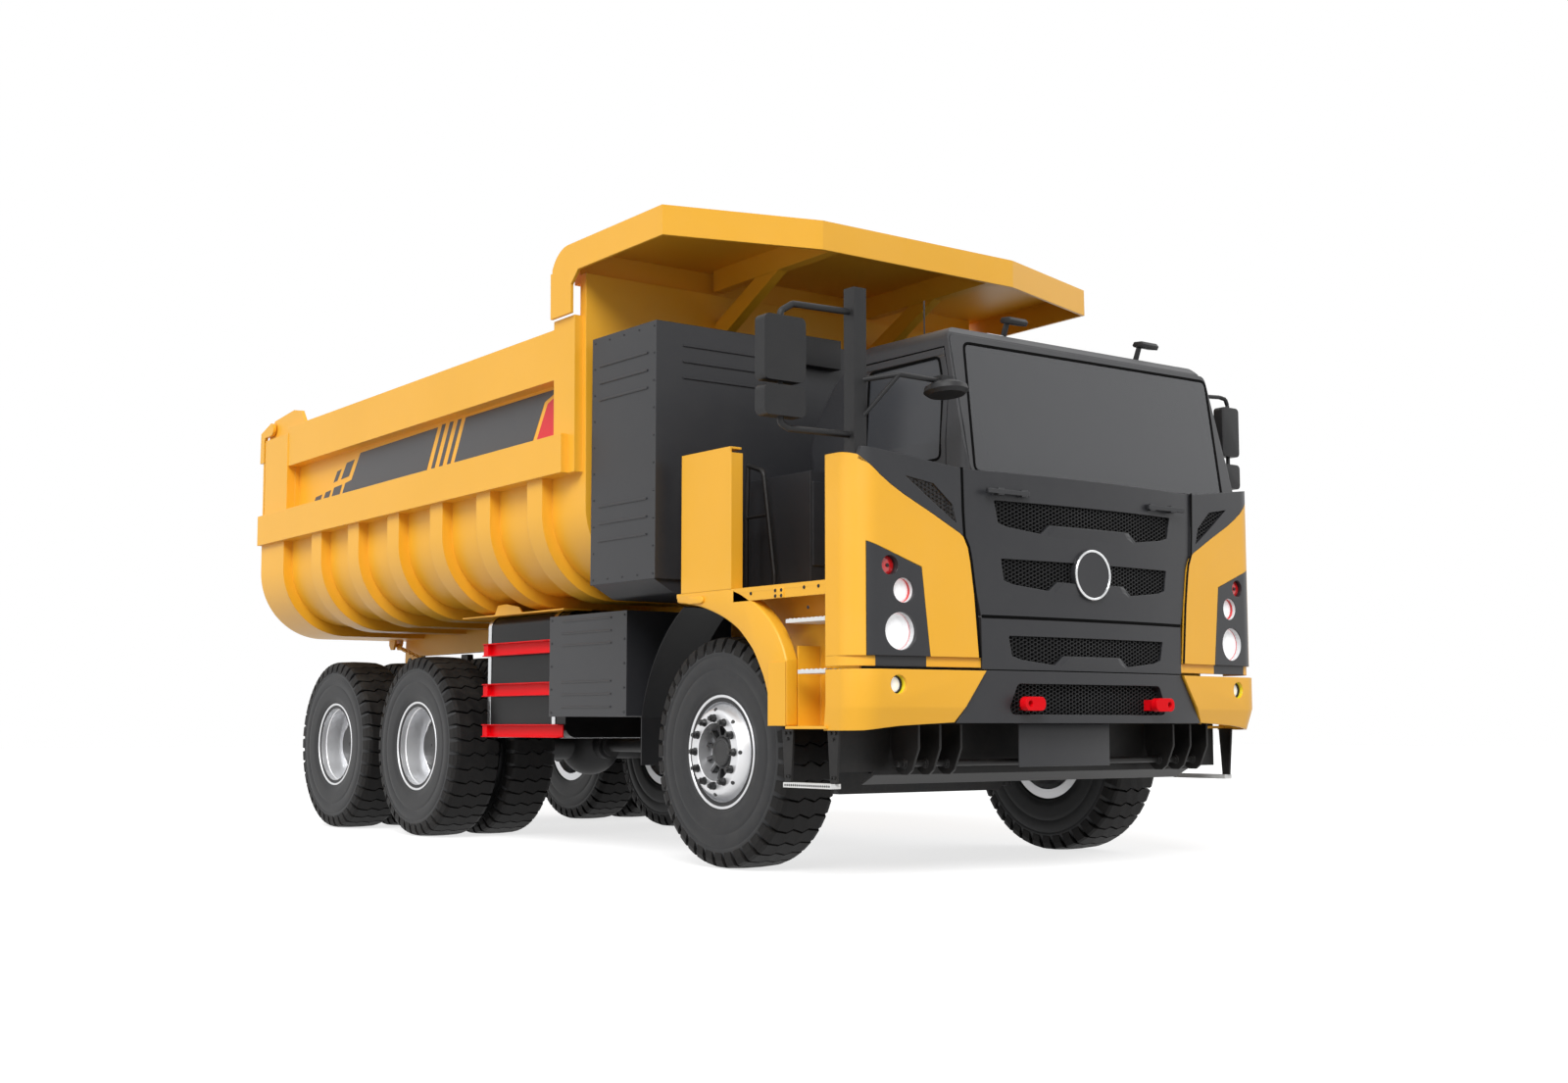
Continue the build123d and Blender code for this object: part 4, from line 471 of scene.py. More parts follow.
TWIN_HUB = [(-0.048, 0.200), (-0.030, 0.196), (0.000, 0.178), (0.012, 0.172), (0.040, 0.168), (0.046, 0.162),
            (0.046, 0.020), (0.042, 0.016), (0.042, 0.0)]


def circle(radius, steps, u=0.0, v=0.0):
    return [(u + radius * cos(2 * pi * k / steps), v + radius * sin(2 * pi * k / steps)) for k in range(steps)]


def nut(face, s):
    """Washer, hexagon nut and stud, standing off the wheel's face towards s."""
    return mesh_of("wheel_nut", [
        prism(circle(size, sides, BOLT_R), 0, s * (face + low), s * (face + high))
        for sides, size, low, high in ((18, 0.0265, 0.0, 0.006), (6, 0.0240, 0.006, 0.032),
                                       (10, 0.0135, 0.032, 0.048))])


def hub_rib(s):
    """Tapered web from the hub's barrel out to the wall of the cavity."""
    return mesh_of("hub_rib", [prism([(0.090, -0.009), (0.182, -0.011), (0.182, 0.011), (0.090, 0.009)], 0,
                                     s * 0.128, s * 0.176)])


def hand_hole(s):
    """Painted shade of a hand hole: a short dark disc on the shoulder of the front disc."""
    across, out = Vector((s * -0.50, 0.866, 0)), Vector((s * 0.866, 0.50, 0))
    middle = Vector((s * 0.2345, 0.2725, 0))
    return mesh_of("hand_hole", [loft([
        [tuple(middle + out * lift + across * u + Vector((0, 0, v))) for u, v in circle(0.013, 16)]
        for lift in (-0.006, 0.0015)])])


for row in ("front", "middle", "rear"):
    front = row == "front"
    for s, side in SIDES:
        tag = row + "_" + side
        body = ("wheel_" if front else "wheels_") + tag
        centre = (s * (FRONT_X if front else TWIN_X[0]), HUB_Y[row], HUB_Z)
        rim = add("rim_steel_" + tag, mesh_of("rim", [turned(FRONT_RIM if front else TWIN_RIM, centre, s)],
                                              smooth=True), rim_metal, "silver", body, "rim_" + tag)
        rim.data.set_sharp_from_angle(angle=radians(32))
        add("hub_cap_" + tag, [turned(FRONT_HUB if front else TWIN_HUB, centre, s, 72)], hub_black_and_hole_shade, "cast", body)
        fittings = [("wheel_nuts_", nut(FRONT_FACE if front else TWIN_FACE, s), BOLTS, 0.0)]
        if front:
            # the hand holes are dark discs of painted shade, not openings
            fittings += [("hub_ribs_", hub_rib(s), BOLTS, 0.26), ("hand_holes_", hand_hole(s), HAND_HOLES, 0.0)]
        for name, seed, count, start in fittings:
            add(name + tag, round_axle(seed, count, start, centre, hub_black_and_hole_shade), None, "cast", body)

# ---------------------------------------------------------------- chassis and running gear
# Bolted ladder frame, forged axles and leaf springs, all dipped in thin black paint that
# goes grey with dust; the hoist's inner tubes are hard chromed.
# thin black chassis paint; the same finish makes the rung's hole dots, which are painted shade
black_paint_and_hole_shade = finish("chassis_black_and_hole_shade", (0.008, 0.0075, 0.0075), 0.45, dust=0.05, wear=0.4,
                     bare=(0.10, 0.09, 0.08), specular=0.28)
cast_black = finish("cast_black", (0.016, 0.016, 0.0175), 0.55, dust=0.12, grain=160.0, bump=0.35, wear=0.5,
                    edge=0.006, bare=(0.14, 0.13, 0.12))
chromed = finish("hard_chrome", (0.70, 0.71, 0.72), 0.14, metallic=1.0, dust=0.02, drift=0.05, bump=0.01,
                 wear=0.0)
dress(black_paint_and_hole_shade, "chassis_frame", "cross_members", "frame_brackets", "leaf_springs", "hoist_barrels",
      "ladders", "handrail")
dress(cast_black, "front_axle", "bogie_axles", "knuckle_left", "knuckle_right", "drive_motor", "tie_rod")
dress(chromed, "hoist_stages", "hoist_rods")

# ---------------------------------------------------------------- cabinets, cab shell and panels
# Folded sheet boxes for battery and electronics and the cab's pressed shell, all in dark
# grey; the guards and tow hooks are bright red and the mudguards moulded black.
grey_paint = finish("cab_grey", (0.024, 0.0245, 0.0275), 0.36, dust=0.02, drift=0.08, wear=0.08,
                    bare=(0.12, 0.12, 0.12), specular=0.40)
red_paint = finish("guard_red", (0.74, 0.001, 0.006), 0.40, dust=0.0, wear=0.08, bare=(0.30, 0.03, 0.03),
                   specular=0.12)
moulded_black = finish("moulded_black", (0.009, 0.009, 0.010), 0.48, dust=0.02, grain=700.0, bump=0.30,
                       wear=0.0, edge=0.004, specular=0.35)
dress(grey_paint, "battery_cabinet", "side_cabinets", "lower_cabinet", "cab_shell", "door_left", "door_right",
      "hood", "lower_panel", "bumper")
dress(red_paint, "side_guards", "tow_hooks")
dress(yellow_paint, "walkway_panel", "tank_covers")
dress(moulded_black, "mudguards", "grilles", "mirror_right")

# one copy of an object on each point of the input, turned by Turn
on_points, into, out = node_tree("copies_on_points", (("Geometry", "Geometry"), ("Copy", "Object"),
                                                      ("Turn", "Vector"), ("Finish", "Material")))
source = wire(on_points, "GeometryNodeObjectInfo", {"Object": into["Copy"]})
copies = wire(on_points, "GeometryNodeInstanceOnPoints", {
    "Points": wire(on_points, "GeometryNodeMeshToPoints", {"Mesh": into["Geometry"]}),
    "Instance": source.outputs["Geometry"], "Rotation": into["Turn"]})
finished_with(on_points, wire(on_points, "GeometryNodeRealizeInstances", {"Geometry": copies}), into, out)


def scatter(name, points, copy_mesh, turn, material, slot):
    """A piece of copies of copy_mesh at the points; turn is an Euler angle for all of them."""
    model = new_piece("model", copy_mesh)
    seats = bpy.data.meshes.new("seats")
    seats.from_pydata([tuple(p) for p in points], [], [])
    mesh = grown(seats, on_points, {"Copy": model, "Turn": turn, "Finish": material})
    bpy.data.objects.remove(model)
    return add(name, mesh, None, slot)


def screw(radius, height):
    """Domed screw head standing on the XY plane, with a washer face and a hexagon socket."""
    rings = [(radius * 1.15, 0.0), (radius * 1.15, height * 0.2), (radius, height * 0.25),
             (radius * 0.92, height * 0.8), (radius * 0.7, height), (radius * 0.42, height),
             (radius * 0.40, height * 0.45), (0.0, height * 0.45)]
    points, faces = turned([(h, r) for r, h in rings], (0, 0, 0), steps=10)
    return mesh_of("screw", [([(z, y, x) for x, y, z in points], faces)])


def hexagon(radius, height):
    return mesh_of("hexagon_head", [prism(circle(radius, 6), 2, 0, height),
                                    prism(circle(radius * 1.3, 16), 2, 0, height * 0.15)])


def steps_between(a, b, pitch):
    count = max(1, round(abs(b - a) / pitch))
    return [a + (b - a) * k / count for k in range(count + 1)]


SIDEWAYS = {s: (0, s * pi / 2, 0) for s in (-1, 1)}      # turns a screw's head out to that side
UPRIGHT = (0, 0, 0)
box_low, box_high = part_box("battery_cabinet")
side_low, side_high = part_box("side_cabinets")
BOX_SIDE, BOX_SEAM, SCREW_EDGE = 1.916, 1.92, 0.035
CABINET_SIDE, CABINET_EDGE = 1.650, 0.03
for s, side in SIDES:
    edge_y, edge_z = (box_low[1] + SCREW_EDGE, box_high[1] - SCREW_EDGE), (BOX_SEAM, box_high[2] - SCREW_EDGE)
    heads = [(s * BOX_SIDE, y, z) for y in edge_y for z in steps_between(*edge_z, 0.19)]
    heads += [(s * BOX_SIDE, y, z) for z in edge_z for y in steps_between(*edge_y, 0.19)[1:-1]]
    scatter("cabinet_screws_" + side, heads, screw(0.007, 0.005), SIDEWAYS[s], grey_paint, "dark")
    heads = [(s * CABINET_SIDE, y, z) for y in (side_low[1] + CABINET_EDGE, side_high[1] - CABINET_EDGE)
             for z in steps_between(side_low[2] + CABINET_EDGE, side_high[2] - CABINET_EDGE, 0.17)]
    scatter("side_cabinet_screws_" + side, heads, screw(0.008, 0.006), SIDEWAYS[s], grey_paint, "dark")

# ---------------------------------------------------------------- side guards and tank straps
# Three red channels a side, open side out, on lugs in front of the gloss black tank; the
# tank is held by two bright steel straps that follow its rounded corners.
tank_black = finish("tank_black", (0.006, 0.006, 0.0065), 0.24, dust=0.02, drift=0.05, wear=0.05,
                    specular=0.16)
dress(tank_black, "side_tanks")
tank_low, tank_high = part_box("side_tanks")
GUARD_IN, GUARD_OUT, GUARD_BACK = 1.535, 1.590, 3.418
GUARD_H, GUARD_T = 0.100, 0.008
STRAP_R, STRAP_LIFT, STRAP_T, STRAP_W = 0.091, 0.006, 0.004, 0.050


def across(outline, x0, x1):
    """A plate across X; the outline is in (y, z), and its y counts from the front axle."""
    return prism([(FRONT_AXLE + y, z) for y, z in outline], 0, x0, x1)


def block(x0, x1, y0, y1, z0, z1):
    """A box; its y counts from the front axle."""
    return across([(y0, z0), (y1, z0), (y1, z1), (y0, z1)], x0, x1)


def rounded_box(x0, x1, z0, z1, r, steps=6):
    """Outline of a rectangle with round corners."""
    return [(cx + r * cos(pi / 2 * (start + k / steps)), cz + r * sin(pi / 2 * (start + k / steps)))
            for start, (cx, cz) in enumerate(((x1 - r, z1 - r), (x0 + r, z1 - r), (x0 + r, z0 + r),
                                              (x1 - r, z0 + r))) for k in range(steps + 1)]


def shrunk(outline, gap):
    """The outline drawn in towards its middle by the gap."""
    mx, mz = (sum(p[k] for p in outline) / len(outline) for k in (0, 1))
    return [(x - gap * (1 if x > mx else -1), z - gap * (1 if z > mz else -1)) for x, z in outline]


strap_out = rounded_box(0.559, tank_high[0] + STRAP_LIFT, tank_low[2] - STRAP_LIFT, tank_high[2] + STRAP_LIFT,
                        STRAP_R, 8)
strap_in = shrunk(strap_out, STRAP_T)
for s, side in SIDES:
    bars, lugs = [], []
    for z, start in ((0.824, 2.222), (1.143, 2.262), (1.462, 2.262)):
        web, low, high, top = GUARD_IN + GUARD_T, z + GUARD_T, z + GUARD_H - GUARD_T, z + GUARD_H
        section = [(GUARD_IN, z), (GUARD_OUT, z), (GUARD_OUT, low), (web, low), (web, high), (GUARD_OUT, high),
                   (GUARD_OUT, top), (GUARD_IN, top)]
        bars += [prism([(s * x, h) for x, h in section], 1, FRONT_AXLE + start, FRONT_AXLE + GUARD_BACK),
                 block(s * web, s * (GUARD_OUT - 0.012), 3.345, GUARD_BACK, low, high)]
        lugs += [block(s * (tank_high[0] + 0.001), s * GUARD_IN, y, y + 0.05, z + 0.02, z + 0.08)
                 for y in (2.60, 3.10)]
    add("guard_bars_" + side, bars, red_paint, "red", replaces="side_guards")
    add("guard_lugs_" + side, lugs, black_paint_and_hole_shade, "black")
    add("tank_straps_" + side, [loft([
        [(s * a, y, b), (s * a, y + STRAP_W, b), (s * c, y + STRAP_W, d), (s * c, y, d)]
        for (a, b), (c, d) in zip(strap_out, strap_in)], closed=True)
        for y in (FRONT_AXLE + 2.402, FRONT_AXLE + 3.424)], chromed, "chrome")

# ---------------------------------------------------------------- steps
# Punched anti-slip treads in white, and the hanging step: two tapered straps with three
# bolts at the top and two at the foot, and a white rung between them.
white_paint = finish("step_white", (0.72, 0.72, 0.71), 0.45, dust=0.20, wear=0.5, bare=(0.3, 0.3, 0.3),
                     edge=0.003)
dress(white_paint, "step_treads")
TREADS = ((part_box("step_treads")[1][2], -3.645), (1.249, -3.765))     # top face, rear edge
HUNG_BOLTS = ((-0.022, 0.870), (0.022, 0.870), (0.0, 0.835), (-0.014, 0.610), (0.014, 0.610))
RUNG_Z = 0.560
scatter("tread_studs", [(x * s, y, z) for s in (-1, 1) for z, back in TREADS
                        for x in steps_between(1.58, 1.77, 0.038) for y in steps_between(-3.985, back, 0.042)],
        screw(0.010, 0.005), UPRIGHT, white_paint, "white")
for s, side in SIDES:
    scatter("strap_bolts_" + side, [(s * 1.772, y + dy, z) for y in (-3.62, -4.06) for dy, z in HUNG_BOLTS],
            hexagon(0.009, 0.008), SIDEWAYS[s], black_paint_and_hole_shade, "black")
    # painted shade: black dots stand for the holes along the rung
    scatter("rung_holes_" + side, [(s * 1.8005, y, RUNG_Z) for y in steps_between(-4.055, -3.63, 0.020)],
            screw(0.006, 0.002), SIDEWAYS[s], black_paint_and_hole_shade, "black")

# ---------------------------------------------------------------- fenders
# Pressed sheet: a flare bent round the wheel with a rolled edge, the deck above it, and the
# box behind the steps; a carrier bolts each fender to the frame.
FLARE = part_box("fenders")[1][0]
DECK = 1.775
BOX_END = -1.262                    # front end of the box
BOX_WALL = 1.530                    # inner wall of the box
BEAM = (-1.010, -0.950)             # the carrier, from front to back


def soft(points, steps=6):
    """A smooth closed line through the points that carry a third value; the rest stay corners."""
    line = []
    for k, point in enumerate(points):
        after, beyond = points[(k + 1) % len(points)], points[(k + 2) % len(points)]
        line.append(point[:2])
        if len(point) > 2 and len(after) > 2:
            before = points[k - 1] if len(points[k - 1]) > 2 else point
            beyond = beyond if len(beyond) > 2 else after
            for i in range(1, steps):
                t = i / steps
                line.append(tuple(0.5 * (2 * b + (c - a) * t + (2 * a - 5 * b + 4 * c - d) * t * t
                                         + (3 * b - a - 3 * c + d) * t ** 3)
                                  for a, b, c, d in zip(before[:2], point, after, beyond)))
    return line


def shaded(mesh, angle):
    """Smooth shading, broken at edges sharper than the angle."""
    for polygon in mesh.polygons:
        polygon.use_smooth = True
    mesh.set_sharp_from_angle(angle=radians(angle))
    return mesh


def bevelled(shapes, width):
    """The shapes as one mesh, its sharp edges rounded over."""
    carrier = new_piece("plain", mesh_of("plain", shapes))
    round_off = carrier.modifiers.new("round", "BEVEL")
    round_off.width, round_off.segments, round_off.limit_method = width, 3, "ANGLE"
    round_off.angle_limit = radians(35)
    return shaded(plain_mesh(carrier), 30)


UP = 1      # marks a point of the line that the curve runs through
ARCH_OUT = [(0.310, 1.775), (-0.300, 1.775), (-0.330, 1.774, UP), (-0.423, 1.742, UP), (-0.560, 1.672, UP),
            (-0.680, 1.590, UP), (-0.780, 1.492, UP), (-0.845, 1.390, UP), (-0.880, 1.310, UP),
            (-0.880, 1.305), (-0.880, 0.912)]
ARCH_IN = [(-0.762, 0.912), (-0.700, 1.070, UP), (-0.655, 1.190, UP), (-0.610, 1.270, UP),
           (-0.539, 1.375, UP), (-0.450, 1.460, UP), (-0.350, 1.534, UP), (-0.200, 1.605, UP),
           (-0.025, 1.662, UP), (0.120, 1.694, UP), (0.310, 1.718, UP)]
WALL = [(-1.255, 0.905), (-0.775, 0.905)] + [p[:2] for p in ARCH_IN[1:8]] + [
    (-0.200, DECK - 0.040), (-1.255, DECK - 0.040)]
MARKER = [(0.155, 1.700), (0.010, 1.700), (-0.010, 1.712), (-0.010, 1.735), (0.010, 1.747), (0.155, 1.747)]
for s, side in SIDES:
    deck_in = 0.905 if s < 0 else 1.633
    flare = bevelled([across(soft(ARCH_OUT + ARCH_IN), s * FLARE, s * (FLARE - 0.093))], 0.014)
    parts = [across(WALL, s * BOX_WALL, s * 1.545),
             block(s * (FLARE - 0.001), s * deck_in, BOX_END, 0.310, DECK - 0.030, DECK),
             block(s * FLARE, s * (FLARE - 0.012), BOX_END, -0.330, DECK - 0.085, DECK - 0.001),
             block(s * (FLARE - 0.094), s * BOX_WALL, -0.880, -0.868, 0.900, 1.400),
             block(s * (FLARE - 0.001), s * BOX_WALL, BOX_END, -0.871, 0.895, 0.913),
             block(s * 0.4703, s * 1.535, *BEAM, 1.330, 1.390),
             # the flare's lower half stands a little proud, and a ledge runs behind the steps
             block(s * FLARE, s * (FLARE + 0.004), -0.878, -0.700, 0.914, 1.300),
             block(s * 1.545, s * 1.640, -1.255, -0.660, 1.560, 1.572)]
    if s < 0:
        parts += [block(-1.0, -0.905, *BEAM, 1.380, DECK - 0.020),
                  block(-1.535, -1.0, *BEAM, DECK - 0.080, DECK - 0.020)]
    add("fender_flare_" + side, flare, yellow_paint, "yellow", replaces="fenders")
    add("fender_box_" + side, parts, yellow_paint, "yellow", replaces="fenders")
    add("side_marker_" + side, bevelled([across(MARKER, s * (FLARE - 0.002), s * (FLARE + 0.016))], 0.006),
        yellow_paint, "yellow")
    add("deck_plate_" + side, bevelled([block(s * (FLARE - 0.002), s * (FLARE + 0.006), -0.860, -0.760,
                                              1.690, 1.752)], 0.003), yellow_paint, "yellow")
    dots = [(s * (FLARE + 0.001), FRONT_AXLE + y, z)
            for y, z in ((-0.52, 1.735), (-1.06, 1.742), (-1.20, 1.742), (-1.10, 1.620))]
    dots += [(s * (FLARE + 0.006), FRONT_AXLE + y, z) for y in (-0.84, -0.78) for z in (1.704, 1.738)]
    scatter("deck_screws_" + side, dots, screw(0.010, 0.005), SIDEWAYS[s], moulded_black, "plastic")

# ---------------------------------------------------------------- corner panels
# Moulded shells that wrap each front corner: yellow above and in the bumper, a dark trim up
# to the hood with a mesh wedge, and a dark pod for the lamps.
INNER_X, INNER_Y, OUTER_Y = 0.820, -1.652, -1.545      # the sloping front, from the hood out to the side
SLOPE = (OUTER_Y - INNER_Y) / (FLARE - INNER_X)
BEND_R, BEND_STEPS = 0.190, 14
SHEET = 0.018
CREASE = 1.030
FOG_LEAD = 0.020                    # how far the bumper stands in front of the panels
LAMPS = (  # name, out from the middle, height, radius, depth, width of the red band
    ("headlamp", 1.495, 1.468, 0.112, 0.056, 0.006), ("dipped_lamp", 1.474, 1.709, 0.074, 0.052, 0.020),
    ("position_lamp", 1.572, 1.854, 0.058, 0.036, 0.0), ("fog_lamp", 1.530, 1.155, 0.056, 0.050, 0.0))
POD = [(-1.722, 1.322), (-1.286, 1.322), (-1.345, 1.850), (-1.722, 1.990)]
SWEEP = [(-0.916, 1.322), (-0.948, 1.700), (-0.975, 1.900), (-0.992, 1.985), (-1.018, 2.030),
         (-1.060, 2.065), (-1.260, 2.172), (-1.471, 2.278), (-1.560, 2.330), (-1.640, 2.385),
         (-1.700, 2.440)]
WEDGE = [(-1.459, 2.391), (-1.255, 2.358), (-1.116, 2.237), (-1.087, 2.127), (-1.266, 2.250)]
BUMPER_END = [(-1.9, 0.884), (-1.74, 0.888), (-1.62, 0.903), (-1.50, 0.914), (-1.30, 0.925),
              (-1.112, 0.934), (-0.892, 1.244), (-1.9, 1.244)]
POD_SILL = [(-1.66, 1.2), (-1.30, 1.2), (-1.30, 1.4), (-1.66, 1.4)]
UNDER_POD = (-1.800, -1.500)


def front_of_corner(x, z):
    return FRONT_AXLE + INNER_Y + SLOPE * (abs(x) - INNER_X)


def wrap(z0, z1, lead, thick):
    """Sheet bent round the right-hand front corner, from z0 to z1, moved forward by lead."""
    start, lines = atan(SLOPE), []
    for d in (0.0, thick):
        r = BEND_R - d
        cx = -FLARE + d + r
        cy = OUTER_Y - lead + d - SLOPE * (FLARE - d - abs(cx)) + r * sqrt(1 + SLOPE * SLOPE)
        turns = [start + (pi / 2 - start) * k / BEND_STEPS for k in range(BEND_STEPS + 1)]
        lines.append([(-INNER_X, INNER_Y - lead + d)] + [(cx - r * sin(t), cy - r * cos(t)) for t in turns]
                     + [(-FLARE + d, BOX_END + d)])
    outline = lines[0] + lines[1][::-1]
    return mesh_of("wrap", [prism([(x, FRONT_AXLE + y) for x, y in outline], 2, z0, z1)])


def cut(blank, *tools):
    """Boolean of the mesh with (operation, tool mesh) pairs."""
    carrier = new_piece("blank", blank)
    helpers = [new_piece("tool", tool) for _, tool in tools]
    for (operation, _), helper in zip(tools, helpers):
        step = carrier.modifiers.new("cut", "BOOLEAN")
        step.operation, step.object, step.solver = operation, helper, "EXACT"
    bpy.context.view_layer.update()
    result = plain_mesh(carrier)
    for helper in helpers:
        bpy.data.objects.remove(helper)
    work = bmesh.new()
    work.from_mesh(result)
    bmesh.ops.remove_doubles(work, verts=work.verts, dist=1e-5)
    bmesh.ops.recalc_face_normals(work, faces=work.faces)
    work.to_mesh(result)
    work.free()
    return shaded(result, 20)


def slab_of(outline, y0=-1.800, y1=-1.200):
    return mesh_of("slab", [prism(outline, 1, FRONT_AXLE + y0, FRONT_AXLE + y1)])


def bore(x, z, radius):
    return slab_of(circle(radius, 40, -x, z), -1.800, -1.460)


def mirrored(mesh):
    """The left-hand copy, its faces turned back outwards."""
    copy = mesh.copy()
    copy.transform(Matrix.Diagonal((-1, 1, 1, 1)))
    copy.flip_normals()
    return copy


upper_panel = cut(wrap(1.322, 2.560, 0.0, SHEET),
                  ("INTERSECT", slab_of([(-1.9, 1.320)] + SWEEP + [(-1.76, 2.50), (-1.9, 2.555)])),
                  ("DIFFERENCE", slab_of(shrunk(POD, -0.002), *UNDER_POD)))
bumper_corner = cut(wrap(0.880, 1.246, FOG_LEAD, SHEET), ("INTERSECT", slab_of(BUMPER_END)),
                    ("DIFFERENCE", bore(*LAMPS[3][1:4])))
# below the crease the bumper's end leans back and in
work = bmesh.new()
work.from_mesh(bumper_corner)
for level in (CREASE, CREASE - 0.020):
    bmesh.ops.bisect_plane(work, geom=work.verts[:] + work.edges[:] + work.faces[:],
                           plane_co=(0, 0, level), plane_no=(0, 0, 1))
for corner in work.verts:
    below = max(0.0, CREASE - corner.co.z)
    corner.co.y += 0.28 * below
    corner.co.x += 0.12 * below * (corner.co.x < -1.60)
work.to_mesh(bumper_corner)
work.free()
trim_line = [(-1.048, 2.462)] + [(x + 0.001, z + 0.002) for x, z in SWEEP[4:]] + [
    (-1.760, 2.474), (-1.745, 2.550)]
trim = cut(wrap(1.322, 2.560, 0.0, SHEET), ("INTERSECT", slab_of(trim_line)), ("DIFFERENCE", slab_of(WEDGE)))
pod = cut(wrap(1.322, 2.000, 0.0, 0.026), ("INTERSECT", slab_of(shrunk(POD, 0.001), *UNDER_POD)),
          *[("DIFFERENCE", bore(x, z, r)) for _, x, z, r, _, _ in LAMPS[:3]])
sill = wrap(1.262, 1.323, -0.022, 0.016)
for name, mesh, material, slot, node in (
        ("corner_panel_upper", upper_panel, yellow_paint, "yellow", "corner_panels"),
        ("corner_bumper", bumper_corner, yellow_paint, "yellow", "corner_panels"),
        ("corner_sill", cut(sill, ("DIFFERENCE", slab_of(POD_SILL))), yellow_paint, "yellow", "corner_panels"),
        ("corner_trim", trim, grey_paint, "dark", "corner_trims"),
        ("lamp_pod", pod, grey_paint, "dark", "lamp_pods"),
        ("pod_sill", cut(sill, ("INTERSECT", slab_of(POD_SILL))), grey_paint, "dark", "lamp_pods")):
    for side, copy in (("right", mesh), ("left", mirrored(mesh))):
        add(name + "_" + side, copy, material, slot, replaces=node)

# ---------------------------------------------------------------- grilles
# Moulded honeycomb set back in the openings of hood, lower panel and bumper, in front of
# a black backing; the same mesh fills the wedge in each corner trim.
BOW_R = 7.5
NOSE = FRONT_AXLE - 1.7
CELL = (0.0280, 0.0250)          # pitch of the columns and of the cells in one column
GRILLES = (  # name, half widths at top and bottom, lower and upper edge, half width of the ledge
    ("upper", 0.801, 0.756, 2.098, 2.286, 0.433), ("middle", 0.752, 0.715, 1.746, 1.930, 0.374),
    ("lower", 0.699, 0.658, 1.287, 1.460, 0.330), ("bumper", 0.640, 0.722, 0.982, 1.170, 0.0))


def bowed(x):
    return NOSE + BOW_R - sqrt(BOW_R ** 2 - x ** 2)


def honeycomb_cell(depth):
    """One wide hexagon cell seen from -Y: front rim and the walls behind it."""
    a, h = CELL[0] / 1.5, CELL[1] / 2
    rim_line = [(a, 0), (a / 2, h), (-a / 2, h), (-a, 0), (-a / 2, -h), (a / 2, -h)]
    points = [(x * wide, y, z * tall) for wide, y, tall in ((1, 0, 1), (0.82, 0, 0.80), (0.74, depth, 0.70))
              for x, z in rim_line]
    faces = [(b + k, b + (k + 1) % 6, b + (k + 1) % 6 + 6, b + k + 6) for b in (0, 6) for k in range(6)]
    mesh = bpy.data.meshes.new("honeycomb_cell")
    mesh.from_pydata(points, [], faces)
    for polygon in mesh.polygons:
        if polygon.index < 6 and polygon.normal.y > 0:
            polygon.flip()
        elif polygon.index >= 6 and polygon.normal.dot(Vector(polygon.center) * -1) < 0:
            polygon.flip()
    mesh.update()
    return mesh


def inside(outline, x, z):
    hit = False
    for (ax, az), (bx, bz) in zip(outline, outline[1:] + outline[:1]):
        if (az > z) != (bz > z) and x < (bx - ax) * (z - az) / (bz - az) + ax:
            hit = not hit
    return hit


def cell_places(outline):
    """Middles (x, z) of the honeycomb's cells that lie inside the outline."""
    spans = [range(int(min(p[k] for p in outline) / CELL[k]) - 1,
                   int(max(p[k] for p in outline) / CELL[k]) + 2) for k in (0, 1)]
    places = [(i * CELL[0], (j + (i % 2) / 2) * CELL[1]) for i in spans[0] for j in spans[1]]
    return [place for place in places if inside(outline, *place)]


for name, top, bottom, z0, z1, shelf in GRILLES:
    half = [(top, z1), (bottom, z0)]
    if shelf:
        half = [(top, z1), (bottom + 0.015, z0 + 0.050), (bottom - 0.060, z0 + 0.028), (shelf, z0),
                (shelf - 0.075, z0 + 0.058)]
    opening = half + [(-x, z) for x, z in reversed(half)]
    depth = 0.022 if shelf else 0.038
    scatter("honeycomb_" + name, [(x, bowed(x) + depth, z) for x, z in cell_places(opening)],
            honeycomb_cell(0.016), UPRIGHT, moulded_black, "plastic")
for s, side in SIDES:
    scatter("wedge_mesh_" + side, [(x, front_of_corner(x, z) + 0.010, z)
                                   for x, z in cell_places([(-s * x, z) for x, z in WEDGE])],
            honeycomb_cell(0.010), UPRIGHT, moulded_black, "plastic")

# ---------------------------------------------------------------- hood details and front underside
# Raised ledges under the openings, a bright ring round the boss, near-black strips painted in the
# shut lines for the shade in the gaps, a blank plate under the bumper, and the skid plate with its
# hanger brackets behind it.
LEDGE_STEPS = 12
SKIN = 0.010                     # the hood's face lies this far behind the bow
BOSS = Vector((0, FRONT_AXLE - 1.706, 1.862))
SHUT = [(-0.922, 1.322), (-0.954, 1.700), (-0.981, 1.900), (-0.998, 1.985), (-1.030, 2.050),
        (-1.040, 2.200), (-1.047, 2.470)]
HANGER = [(-1.500, 0.925), (-1.500, 0.780), (-1.440, 0.650), (-1.400, 0.622), (-1.340, 0.622),
          (-1.300, 0.650), (-1.250, 0.780), (-1.250, 0.925)]
EYE = (-1.370, 0.690)            # back and up
# near-black with almost no sheen: painted shade in the shut lines, and the black rubber of the glass seals
gap_shade_and_seal_black = finish("gap_shade_and_seal_black", (0.002, 0.002, 0.002), 0.80, dust=0.0, drift=0.0, wear=0.0, bump=0.0,
                   specular=0.05)


